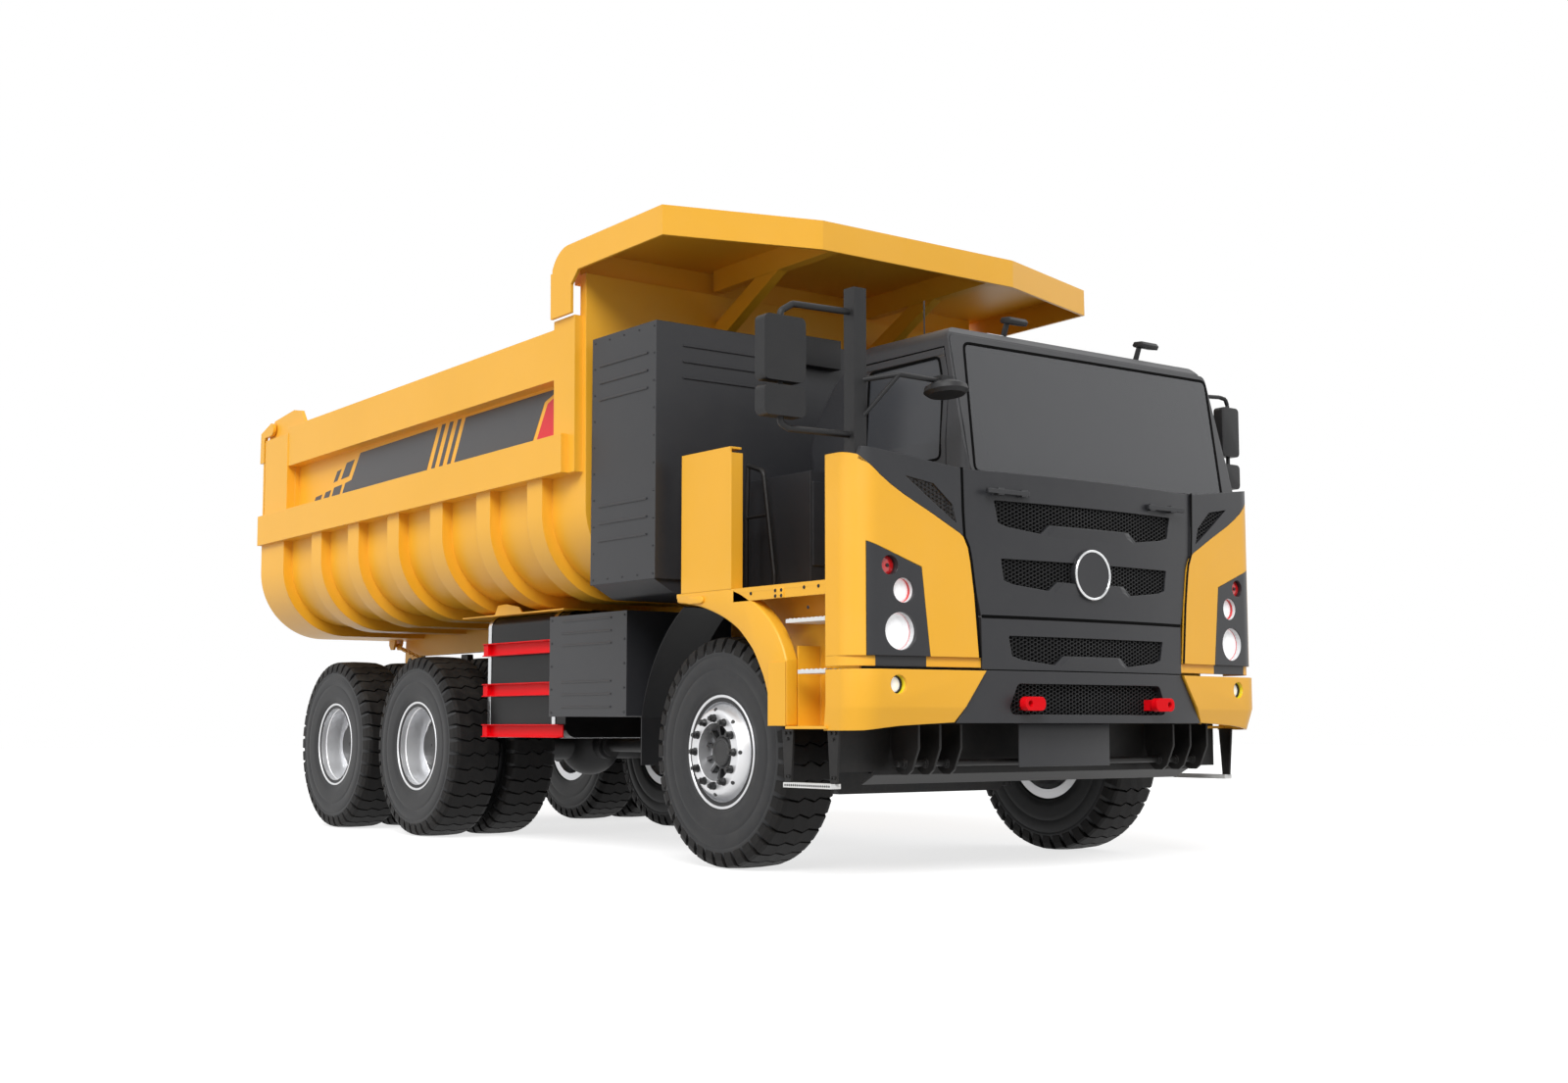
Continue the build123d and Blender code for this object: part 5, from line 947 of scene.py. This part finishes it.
def ledge(shelf, z0):
    """Tapered ledge that stands off the hood under an opening."""
    sections = []
    for k in range(LEDGE_STEPS + 1):
        t = 2 * k / LEDGE_STEPS - 1
        top, low = t * (shelf - 0.070), t * (shelf + 0.030)
        proud = 0 if k in (0, LEDGE_STEPS) else 1
        sections.append([
            (top, bowed(top) + 0.030, z0 + 0.058), (top, bowed(top) + SKIN - 0.014 * proud, z0 + 0.052),
            (top * 0.6 + low * 0.4, bowed(low) + SKIN - 0.010 * proud, z0 + 0.018),
            (low, bowed(low) + 0.014, z0 - 0.030)])
    return loft(sections)


def turned_to(axis):
    """The turn that brings Z to the axis."""
    return Vector(axis).to_track_quat("Z", "Y").to_matrix()


def swept_ring(radius, thick, centre, axis, steps=48, around=12):
    """A torus about an axis."""
    turn, sections = turned_to(axis), []
    for a in [2 * pi * k / steps for k in range(steps)]:
        section = circle(thick, around, radius)
        sections.append([tuple(centre + turn @ Vector((r * cos(a), r * sin(a), h))) for r, h in section])
    return loft(sections, closed=True)


def round_bar(a, b, r0, r1=None, steps=16):
    """A bar from a to b, of radius r0, tapering to r1 when that is given."""
    a, b = Vector(a), Vector(b)
    turn = turned_to(b - a)
    return loft([[tuple(end + turn @ Vector((*point, 0))) for point in circle(r, steps)]
                 for end, r in ((a, r0), (b, r1 or r0))])


def strip(line, width, surface, lift, closed=False):
    """Flat band along a line in (x, z), lying on the surface y(x, z)."""
    count, sections = len(line), []
    for k, (x, z) in enumerate(line):
        before = line[k - 1] if (closed or k) else line[k]
        after = line[(k + 1) % count] if (closed or k < count - 1) else line[k]
        run = Vector((after[0] - before[0], after[1] - before[1])).normalized()
        a, b = [(x - run.y * w, z + run.x * w) for w in (-width / 2, width / 2)]
        sections.append([(p[0], surface(*p) + d, p[1])
                         for p, d in ((a, -lift), (a, 0.002), (b, 0.002), (b, -lift))])
    return loft(sections, closed)


def front_of_hood(x, z):
    return bowed(x) + SKIN


def plate_with_eye(x):
    """Hanger bracket across X with a pin through its eye."""
    pin = [(-0.012, 0.0), (-0.012, 0.030), (0.028, 0.030), (0.028, 0.0)]
    return [across(HANGER, x, x + 0.016), turned(pin, (x, FRONT_AXLE + EYE[0], EYE[1]), steps=20)]


add("hood_ledges", [ledge(shelf, z0) for _, _, _, z0, _, shelf in GRILLES if shelf], grey_paint, "dark")
add("boss_ring", mesh_of("boss_ring", [swept_ring(0.152, 0.009, BOSS, (0, -1, 0), 64)], smooth=True), chromed,
    "chrome")
# painted shade: near-black strips stand for the shade inside the shut lines
add("shut_lines", [strip([(x * -s, z) for x, z in SHUT], 0.018, front_of_corner, 0.002) for s in (-1, 1)] + [
    strip([(x, 1.5725) for x in steps_between(-0.90, 0.90, 0.1)], 0.020, front_of_hood, 0.0015),
    strip([(x, 1.249) for x in steps_between(-0.88, 0.88, 0.1)], 0.008, front_of_hood, 0.0015)],
    gap_shade_and_seal_black, "plastic")
add("blank_number_plate", bevelled([block(-0.520, 0.290, -1.553, -1.545, 0.662, 0.930)], 0.003), grey_paint,
    "dark")
parts = [block(-1.690, 1.690, -1.235, -1.225, 0.640, 0.935),
         across([(-1.225, 0.640), (-1.235, 0.640), (-1.235, 0.620), (-1.120, 0.560), (-1.110, 0.570)],
                -1.420, 1.420)]
for s in (-1, 1):
    for x in (1.300, 1.130, 0.960):
        parts += plate_with_eye(s * x)
parts.append(round_bar(*[(x, FRONT_AXLE + EYE[0], EYE[1]) for x in (-1.36, 1.36)], 0.020))
add("skid_plate", parts, black_paint_and_hole_shade, "black")

# ---------------------------------------------------------------- lamps
# Each corner carries, from above: a red position lamp, dipped beam and headlamp in bright
# cups with a red band at the root, and a fog lamp in the bumper with a yellow cup.
lens_white = finish("lens_white", (0.92, 0.92, 0.93), 0.12, dust=0.0, drift=0.0, wear=0.0, bump=0.0, coat=1.0,
                    edge=0.002)
shader = lens_white.node_tree.nodes["Principled BSDF"]
shader.inputs["Emission Color"].default_value = (1, 1, 1, 1)
shader.inputs["Emission Strength"].default_value = 0.30
lens_red = finish("lens_red", (0.62, 0.003, 0.006), 0.15, dust=0.0, drift=0.03, wear=0.0, bump=0.0, coat=1.0,
                  edge=0.002)
lens_yellow = finish("lamp_cup_yellow", (0.90, 0.72, 0.01), 0.30, dust=0.0, drift=0.0, wear=0.0, bump=0.0,
                     edge=0.002)
cup_bright = finish("lamp_cup_bright", (0.66, 0.67, 0.68), 0.30, dust=0.0, wear=0.0, bump=0.0, edge=0.002)
TAIL_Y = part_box("lamps")[1][1] - FRONT_AXLE


def round_part(profile, x, y, z):
    """Turned about a line along Y: (depth behind y, radius) pairs."""
    points, faces = turned(profile, (0, 0, 0), steps=40)
    return [([(x + b, y + a, z + c) for a, b, c in points], faces)]


def sleeve(front, back, inner, outer):
    """Closed profile of a ring."""
    return [(front, inner), (back, inner), (back, outer), (front, outer), (front, inner)]


for name, x, z, r, deep, band in LAMPS:
    face = front_of_corner(x, z) - (FOG_LEAD if name == "fog_lamp" else 0.0)
    edge = r - 0.0005
    glass = [(deep + 0.012, edge), (deep, edge), (deep - 0.004, r * 0.86), (deep - 0.007, r * 0.6),
             (deep - 0.009, r * 0.3), (deep - 0.0095, 0.0), (deep + 0.012, 0.0), (deep + 0.012, edge)]
    cup = sleeve(0.002 + SLOPE * r, deep - band, edge - 0.001, edge + 0.003)
    wall = {"position_lamp": grey_paint, "fog_lamp": lens_yellow}.get(name, cup_bright)
    extra = {"position_lamp": ("position_bulb_", [(deep - 0.015, 0.0), (deep - 0.015, 0.011), (deep, 0.011),
                                                  (deep, 0.0)], moulded_black, "plastic"),
             "fog_lamp": ("fog_ring_", sleeve(deep - 0.004, deep - 0.016, edge - 0.001, r - 0.012),
                          moulded_black, "plastic")}.get(
        name, (name + "_band_", sleeve(deep - band, deep, edge, edge + 0.004), lens_red, "red"))
    for s, side in SIDES:
        add(name + "_cup_" + side, round_part(cup, s * x, face, z), wall, "silver")
        add(name + "_lens_" + side, round_part(glass, s * x, face, z),
            lens_red if name == "position_lamp" else lens_white, "lens", replaces="lamps")
        add(extra[0] + side, round_part(extra[1], s * x, face, z), *extra[2:])
for s, side in SIDES:
    add("tail_lamp_" + side, bevelled([block(s * 0.385, s * 0.470, TAIL_Y - 0.048, TAIL_Y - 0.012,
                                             1.130, 1.320)], 0.006), moulded_black, "plastic")
    for k, lens in enumerate((lens_red, lens_red, lens_white)):
        low = 1.140 + 0.060 * k
        add("tail_lens_%d_%s" % (k, side), bevelled([block(
            s * 0.394, s * 0.461, TAIL_Y - 0.014, TAIL_Y - 0.002, low, low + 0.052)], 0.004), lens, "lens")

# ---------------------------------------------------------------- cab glass and seals
# Dark tinted laminated glass bonded to the shell: the windscreen in a sheet surround, the
# side panes under the doors' top rails, each with a black rubber lip all round.
tint = bpy.data.materials.new("tinted_glass")
tint.use_nodes = True
shader = tint.node_tree.nodes["Principled BSDF"]
shader.inputs["Roughness"].default_value = 0.16
shader.inputs["Transmission Weight"].default_value = 0.45
shader.inputs["Specular IOR Level"].default_value = 0.38
shader.inputs["IOR"].default_value = 1.45
skin = wire(tint.node_tree, "ShaderNodeGroup", node_tree=skin_group)
skin.inputs["Colour"].default_value = (0.050, 0.053, 0.060, 1)
skin.inputs["Dust"].default_value = 0.02
skin.inputs["Roughness"].default_value = 0.16
tint.node_tree.links.new(skin.outputs["Colour"], shader.inputs["Base Color"])
tint.node_tree.links.new(skin.outputs["Roughness"], shader.inputs["Roughness"])
dress(tint, "cab_glass", "door_glass_left", "door_glass_right")
side_tint = tint.copy()
side_tint.name = "tinted_side_glass"
side_tint.node_tree.nodes["Principled BSDF"].inputs["Transmission Weight"].default_value = 0.15
LEAN = 0.060 / 0.740              # how far the cab's sides lean in above LEAN_Z
LEAN_Z = 2.700
WINDOW = [(-1.258, 2.575), (-0.510, 2.560), (-0.510, 3.245), (-1.205, 3.250), (-1.258, 3.060)]
WINDOW_LIP = [(-0.516, 2.566), (-0.516, 3.240), (-1.200, 3.244), (-1.252, 3.060), (-1.252, 2.580)]
TOP_RAIL = [(-0.452, 3.238), (-0.452, 3.298), (-1.236, 3.298), (-1.254, 3.238)]


def rounded_line(corners, radius, steps=5):
    """The closed line with its corners rounded over."""
    line = []
    for k, corner in enumerate(corners):
        here = Vector(corner)
        a = here + (Vector(corners[k - 1]) - here).normalized() * radius
        b = here + (Vector(corners[(k + 1) % len(corners)]) - here).normalized() * radius
        line += [tuple(a.lerp(here, i / steps).lerp(here.lerp(b, i / steps), i / steps))
                 for i in range(steps + 1)]
    return line


def screen_face(x, z):
    return FRONT_AXLE - 1.530 + 0.27347 * (z - 2.420)


def frame_between(outer, inner, front, back):
    """Flat ring on the windscreen between two closed lines with the same number of points."""
    return loft([[(x, screen_face(x, z) + d, z) for (x, z), d in ((a, front), (a, back), (b, back), (b, front))]
                 for a, b in zip(outer, inner)], closed=True)


def side_of_cab(s, z):
    return (1.650 if s > 0 else -0.880) - s * max(0.0, z - LEAN_Z) * LEAN


def on_side(shape, s):
    """Lay a shape built in (y, depth, z) on the side s of the cab."""
    points, faces = shape
    return [(side_of_cab(s, z) - s * d, FRONT_AXLE + y, z) for y, d, z in points], faces


screen_edge = rounded_line([(-0.702, 3.338), (-0.834, 2.476), (1.500, 2.476), (1.632, 3.352)], 0.050)
surround_edge = rounded_line([(-0.812, 3.390), (-0.866, 2.464), (1.636, 2.464), (1.637, 3.390)], 0.050)
add("screen_seal", [strip(screen_edge, 0.018, screen_face, 0.007, closed=True)], gap_shade_and_seal_black, "plastic")
add("screen_surround", [frame_between(surround_edge, screen_edge, -0.005, 0.001)], grey_paint, "dark")
pane = mesh_of("screen_pane", [prism(screen_edge, 1, -0.0035, 0.0005)])
for vertex in pane.vertices:
    vertex.co.y += screen_face(vertex.co.x, vertex.co.z)
add("screen_pane", pane, tint, "glass")
bend_line = [(-0.510, LEAN_Z), (-1.258, LEAN_Z)]
for s, side in SIDES:
    door = "door_" + side
    add("side_pane_" + side, [on_side(prism(line, 1, 0.007, 0.012), s)
                              for line in (WINDOW[:2] + bend_line, bend_line[::-1] + WINDOW[2:])],
        side_tint, "glass", door, "door_glass_" + side)
    add("door_top_rail_" + side, [on_side(prism(TOP_RAIL, 1, 0.0005, 0.030), s)], grey_paint, "dark", door)
    lip = strip(rounded_line(WINDOW_LIP, 0.045), 0.016, lambda y, z: 0.0, 0.003, closed=True)
    add("window_seal_" + side, [on_side(lip, s)], gap_shade_and_seal_black, "plastic", door)

# ---------------------------------------------------------------- cab interior
# Two sprung seats in dark woven cloth on steel boxes, a moulded fascia with its instrument
# hood, and a four-spoke wheel on a raked column over the rubber floor.
FLOOR_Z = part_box("cab_interior")[0][2]
CAB = (-0.78, 1.55)                # from the right side of the floor to the left
PAD_STEPS = 28
WHEEL = Vector((0.95, FRONT_AXLE - 0.95, FLOOR_Z + 0.797))
COLUMN = Vector((0, 0.22, 0.15)).normalized()
cloth = finish("seat_cloth", (0.030, 0.031, 0.036), 0.85, dust=0.04, grain=900.0, bump=0.6, wear=0.0,
               edge=0.004, specular=0.2)
vinyl = finish("fascia_vinyl", (0.040, 0.041, 0.045), 0.55, grain=500.0, bump=0.3, wear=0.0, edge=0.006)


def cab_part(outline, x0, x1):
    """A plate across X; the outline counts from the front axle and from the cab's floor."""
    return across([(y, FLOOR_Z + z) for y, z in outline], x0, x1)


def foot_of(x, half, top_half, low, high, y0, y1):
    """A box about x, its top wider or narrower than its foot."""
    return prism([(x - half, FLOOR_Z + low), (x + half, FLOOR_Z + low), (x + top_half, FLOOR_Z + high),
                  (x - top_half, FLOOR_Z + high)], 1, FRONT_AXLE + y0, FRONT_AXLE + y1)


def cushion(name, size, centre, lean, channels):
    """A crowned pad: sewn channels along its length, sides pulled in, flat underneath."""
    w, l, h = size
    grid = [(2 * i / PAD_STEPS - 1, 2 * j / PAD_STEPS - 1)
            for j in range(PAD_STEPS + 1) for i in range(PAD_STEPS + 1)]
    points = []
    for u, v in grid:
        pull = 1 - 0.035 * (1 - u * u) * abs(v) ** 6 - 0.035 * (1 - v * v) * abs(u) ** 6
        crown = (1 - u ** 6) ** 0.5 * (1 - v ** 6) ** 0.5
        seam = sum(0.010 * max(0.0, 1 - abs(u - c) / 0.05) for c in channels)
        points.append((u * w / 2 * pull, v * l / 2 * pull,
                       h * (0.35 + 0.65 * crown) - (seam if max(abs(u), abs(v)) < 0.93 else 0)))
    points += [(u * w / 2 * 0.96, v * l / 2 * 0.96, 0) for u, v in grid]
    row, base = PAD_STEPS + 1, len(grid)
    last = PAD_STEPS * row
    faces = []
    for i in range(PAD_STEPS):
        for a in range(i, last, row):
            faces += [(a, a + 1, a + row + 1, a + row), (base + a, base + a + row, base + a + row + 1, base + a + 1)]
        faces += [(i, base + i, base + i + 1, i + 1),
                  (last + i, last + i + 1, base + last + i + 1, base + last + i)]
        a, b = i * row, i * row + PAD_STEPS
        faces += [(a, a + row, base + a + row, base + a), (b, base + b, base + b + row, b + row)]
    place_at = Matrix.Translation(centre) @ Matrix.Rotation(lean, 4, "X")
    pad = mesh_of(name, [([tuple(place_at @ Vector(p)) for p in points], faces)], smooth=True)
    add(name, pad, cloth, "trim")


parts = [block(*CAB, -4.235 - FRONT_AXLE, -2.735 - FRONT_AXLE, FLOOR_Z, FLOOR_Z + 0.02),
         cab_part([(-1.440, 0.020), (-1.340, 0.020), (-1.250, 0.330), (-1.160, 0.600), (-1.150, 0.700),
                   (-1.180, 0.770), (-1.260, 0.778), (-1.440, 0.740)], *CAB),
         foot_of(0.35, 0.13, 0.13, 0.46, 0.58, -1.215, -1.155),
         foot_of(1.28, 0.13, 0.13, 0.46, 0.58, -1.215, -1.155),
         cab_part([(-1.245, 0.770), (-1.130, 0.800), (-1.140, 0.870), (-1.180, 0.895), (-1.245, 0.860)],
                  0.70, 1.20),
         foot_of(0.31, 0.11, 0.09, 0.02, 0.50, -0.62, -0.20)]
add("cab_fascia_and_floor", parts, vinyl, "trim", replaces="cab_interior")
for n, x in enumerate((0.95, -0.30)):
    for name, size, back, up, lean, channels in (
            ("seat_cushion", (0.50, 0.48, 0.125), -0.44, 0.325, 0, (-0.55, 0.55)),
            ("seat_back", (0.46, 0.62, 0.10), -0.115, 0.76, 98, (-0.5, 0.5)),
            ("head_rest", (0.26, 0.16, 0.085), -0.060, 1.16, 98, ())):
        cushion("%s_%d" % (name, n), size, (x, FRONT_AXLE + back, FLOOR_Z + up), radians(lean), channels)
    add("seat_frame_%d" % n, [
        foot_of(x, 0.22, 0.18, 0.02, 0.32, -0.64, -0.16),
        cab_part([(-0.105, 0.33), (-0.065, 0.33), (0.005, 1.10), (-0.030, 1.10)], x - 0.21, x + 0.21)],
        vinyl, "trim")
sideways = Vector((1, 0, 0))
parts = [swept_ring(0.215, 0.016, WHEEL, COLUMN),
         round_bar(WHEEL - COLUMN * 0.30, WHEEL - COLUMN * 0.015, 0.045, 0.030),
         round_bar(WHEEL - COLUMN * 0.02, WHEEL + COLUMN * 0.015, 0.070, 0.055)]
for a in (0.35, pi - 0.35, pi + 0.6, -0.6):
    rim_point = WHEEL + (sideways * cos(a) + COLUMN.cross(sideways) * sin(a)) * 0.205
    parts.append(round_bar(WHEEL, rim_point, 0.014, 0.010, 8))
add("steering_wheel", parts, vinyl, "trim")

# ---------------------------------------------------------------- mirrors
# Moulded housings with silvered glass let into their rear faces; the left pair hangs from a
# bent tube on the door and swings with it.
silvered = finish("silvered_glass", (0.85, 0.86, 0.87), 0.03, metallic=1.0, dust=0.03, drift=0.02, bump=0.0,
                  wear=0.0, edge=0.001)
RIGHT_BACK = FRONT_AXLE - 1.319 + 0.045
LEFT_BACK = FRONT_AXLE - 0.925
RIGHT_HEADS = (-2.339, -2.037, ((2.908, 3.295), (2.702, 2.884)))      # sides, then (low, high) of each head
LEFT_HEADS = (2.150, 2.338, ((2.900, 3.268), (2.660, 2.842)))


def mirror_shapes(heads, rim_x, rim_z, r, y0, y1):
    """Plates with round corners on both heads, inside their rims."""
    x0, x1, spans = heads
    return [prism(rounded_box(x0 + rim_x, x1 - rim_x, z0 + rim_z, z1 - rim_z, r), 1, y0, y1) for z0, z1 in spans]


add("mirror_glass_right", mirror_shapes(RIGHT_HEADS, 0.022, 0.020, 0.025, RIGHT_BACK - 0.001, RIGHT_BACK + 0.003),
    silvered, "chrome")
add("mirror_glass_left", mirror_shapes(LEFT_HEADS, 0.018, 0.018, 0.022, LEFT_BACK - 0.001, LEFT_BACK + 0.003),
    silvered, "chrome", "door_left")
tube = [(1.654, -0.905, 2.745), (1.740, -0.905, 3.270), (1.790, -0.910, 3.330), (2.180, -0.960, 3.345),
        (2.240, -0.967, 3.335), (2.262, -0.967, 3.290), (2.262, -0.967, 3.240)]
link = [(2.255, -0.967, 2.840), (2.255, -0.967, 2.905)]
parts = mirror_shapes(LEFT_HEADS, 0, 0, 0.032, FRONT_AXLE - 1.010, LEFT_BACK - 0.0005)
for a, b in [*zip(tube, tube[1:]), link]:
    parts.append(round_bar(*[(x, FRONT_AXLE + y, z) for x, y, z in (a, b)], 0.015))
parts.append(block(1.6503, 1.668, -0.940, -0.870, 2.695, 2.790))
add("mirror_left_heads", bevelled(parts, 0.005), moulded_black, "plastic", "door_left", "mirror_left")

# ---------------------------------------------------------------- roof fittings
# Two work lamps, each a tilted die-cast head on a bent foot, light base plates on the roof
# and a thin whip aerial.
ROOF = 3.4405
AERIAL = (-0.700, FRONT_AXLE - 0.910)
roof_low, roof_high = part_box("roof_fittings")
FOOT = [(-1.060, 0.0005), (-1.130, 0.0005), (-1.130, 0.012), (-1.110, 0.014), (-1.150, 0.120),
        (-1.138, 0.128), (-1.090, 0.016), (-1.060, 0.012)]
HEAD = [(-1.205, 0.128), (-1.190, 0.104), (-1.110, 0.120), (-1.098, 0.136), (-1.115, 0.158),
        (-1.185, 0.152)]
heads, bases = [], []
for x, plate_x in ((-0.140, -0.430), (1.145, 1.405)):
    heads += [across([(y, ROOF + z) for y, z in FOOT], x - 0.060, x - 0.018),
              across([(y, ROOF + z) for y, z in HEAD], x - 0.062, x + 0.098)]
    bases.append(block(plate_x, plate_x + 0.140, -1.220, -1.150, ROOF - 0.004, ROOF + 0.006))
heads.append(round_bar((*AERIAL, ROOF), (*AERIAL, roof_high[2] - 0.001), 0.005))
rear = roof_high[1] - FRONT_AXLE
heads.append(block(roof_low[0], roof_low[0] + 0.32, rear - 0.079, rear, 3.450, 3.660))
add("roof_lamps", bevelled(heads, 0.004), moulded_black, "plastic", replaces="roof_fittings")
add("roof_base_plates", bevelled(bases, 0.002), cup_bright, "silver")
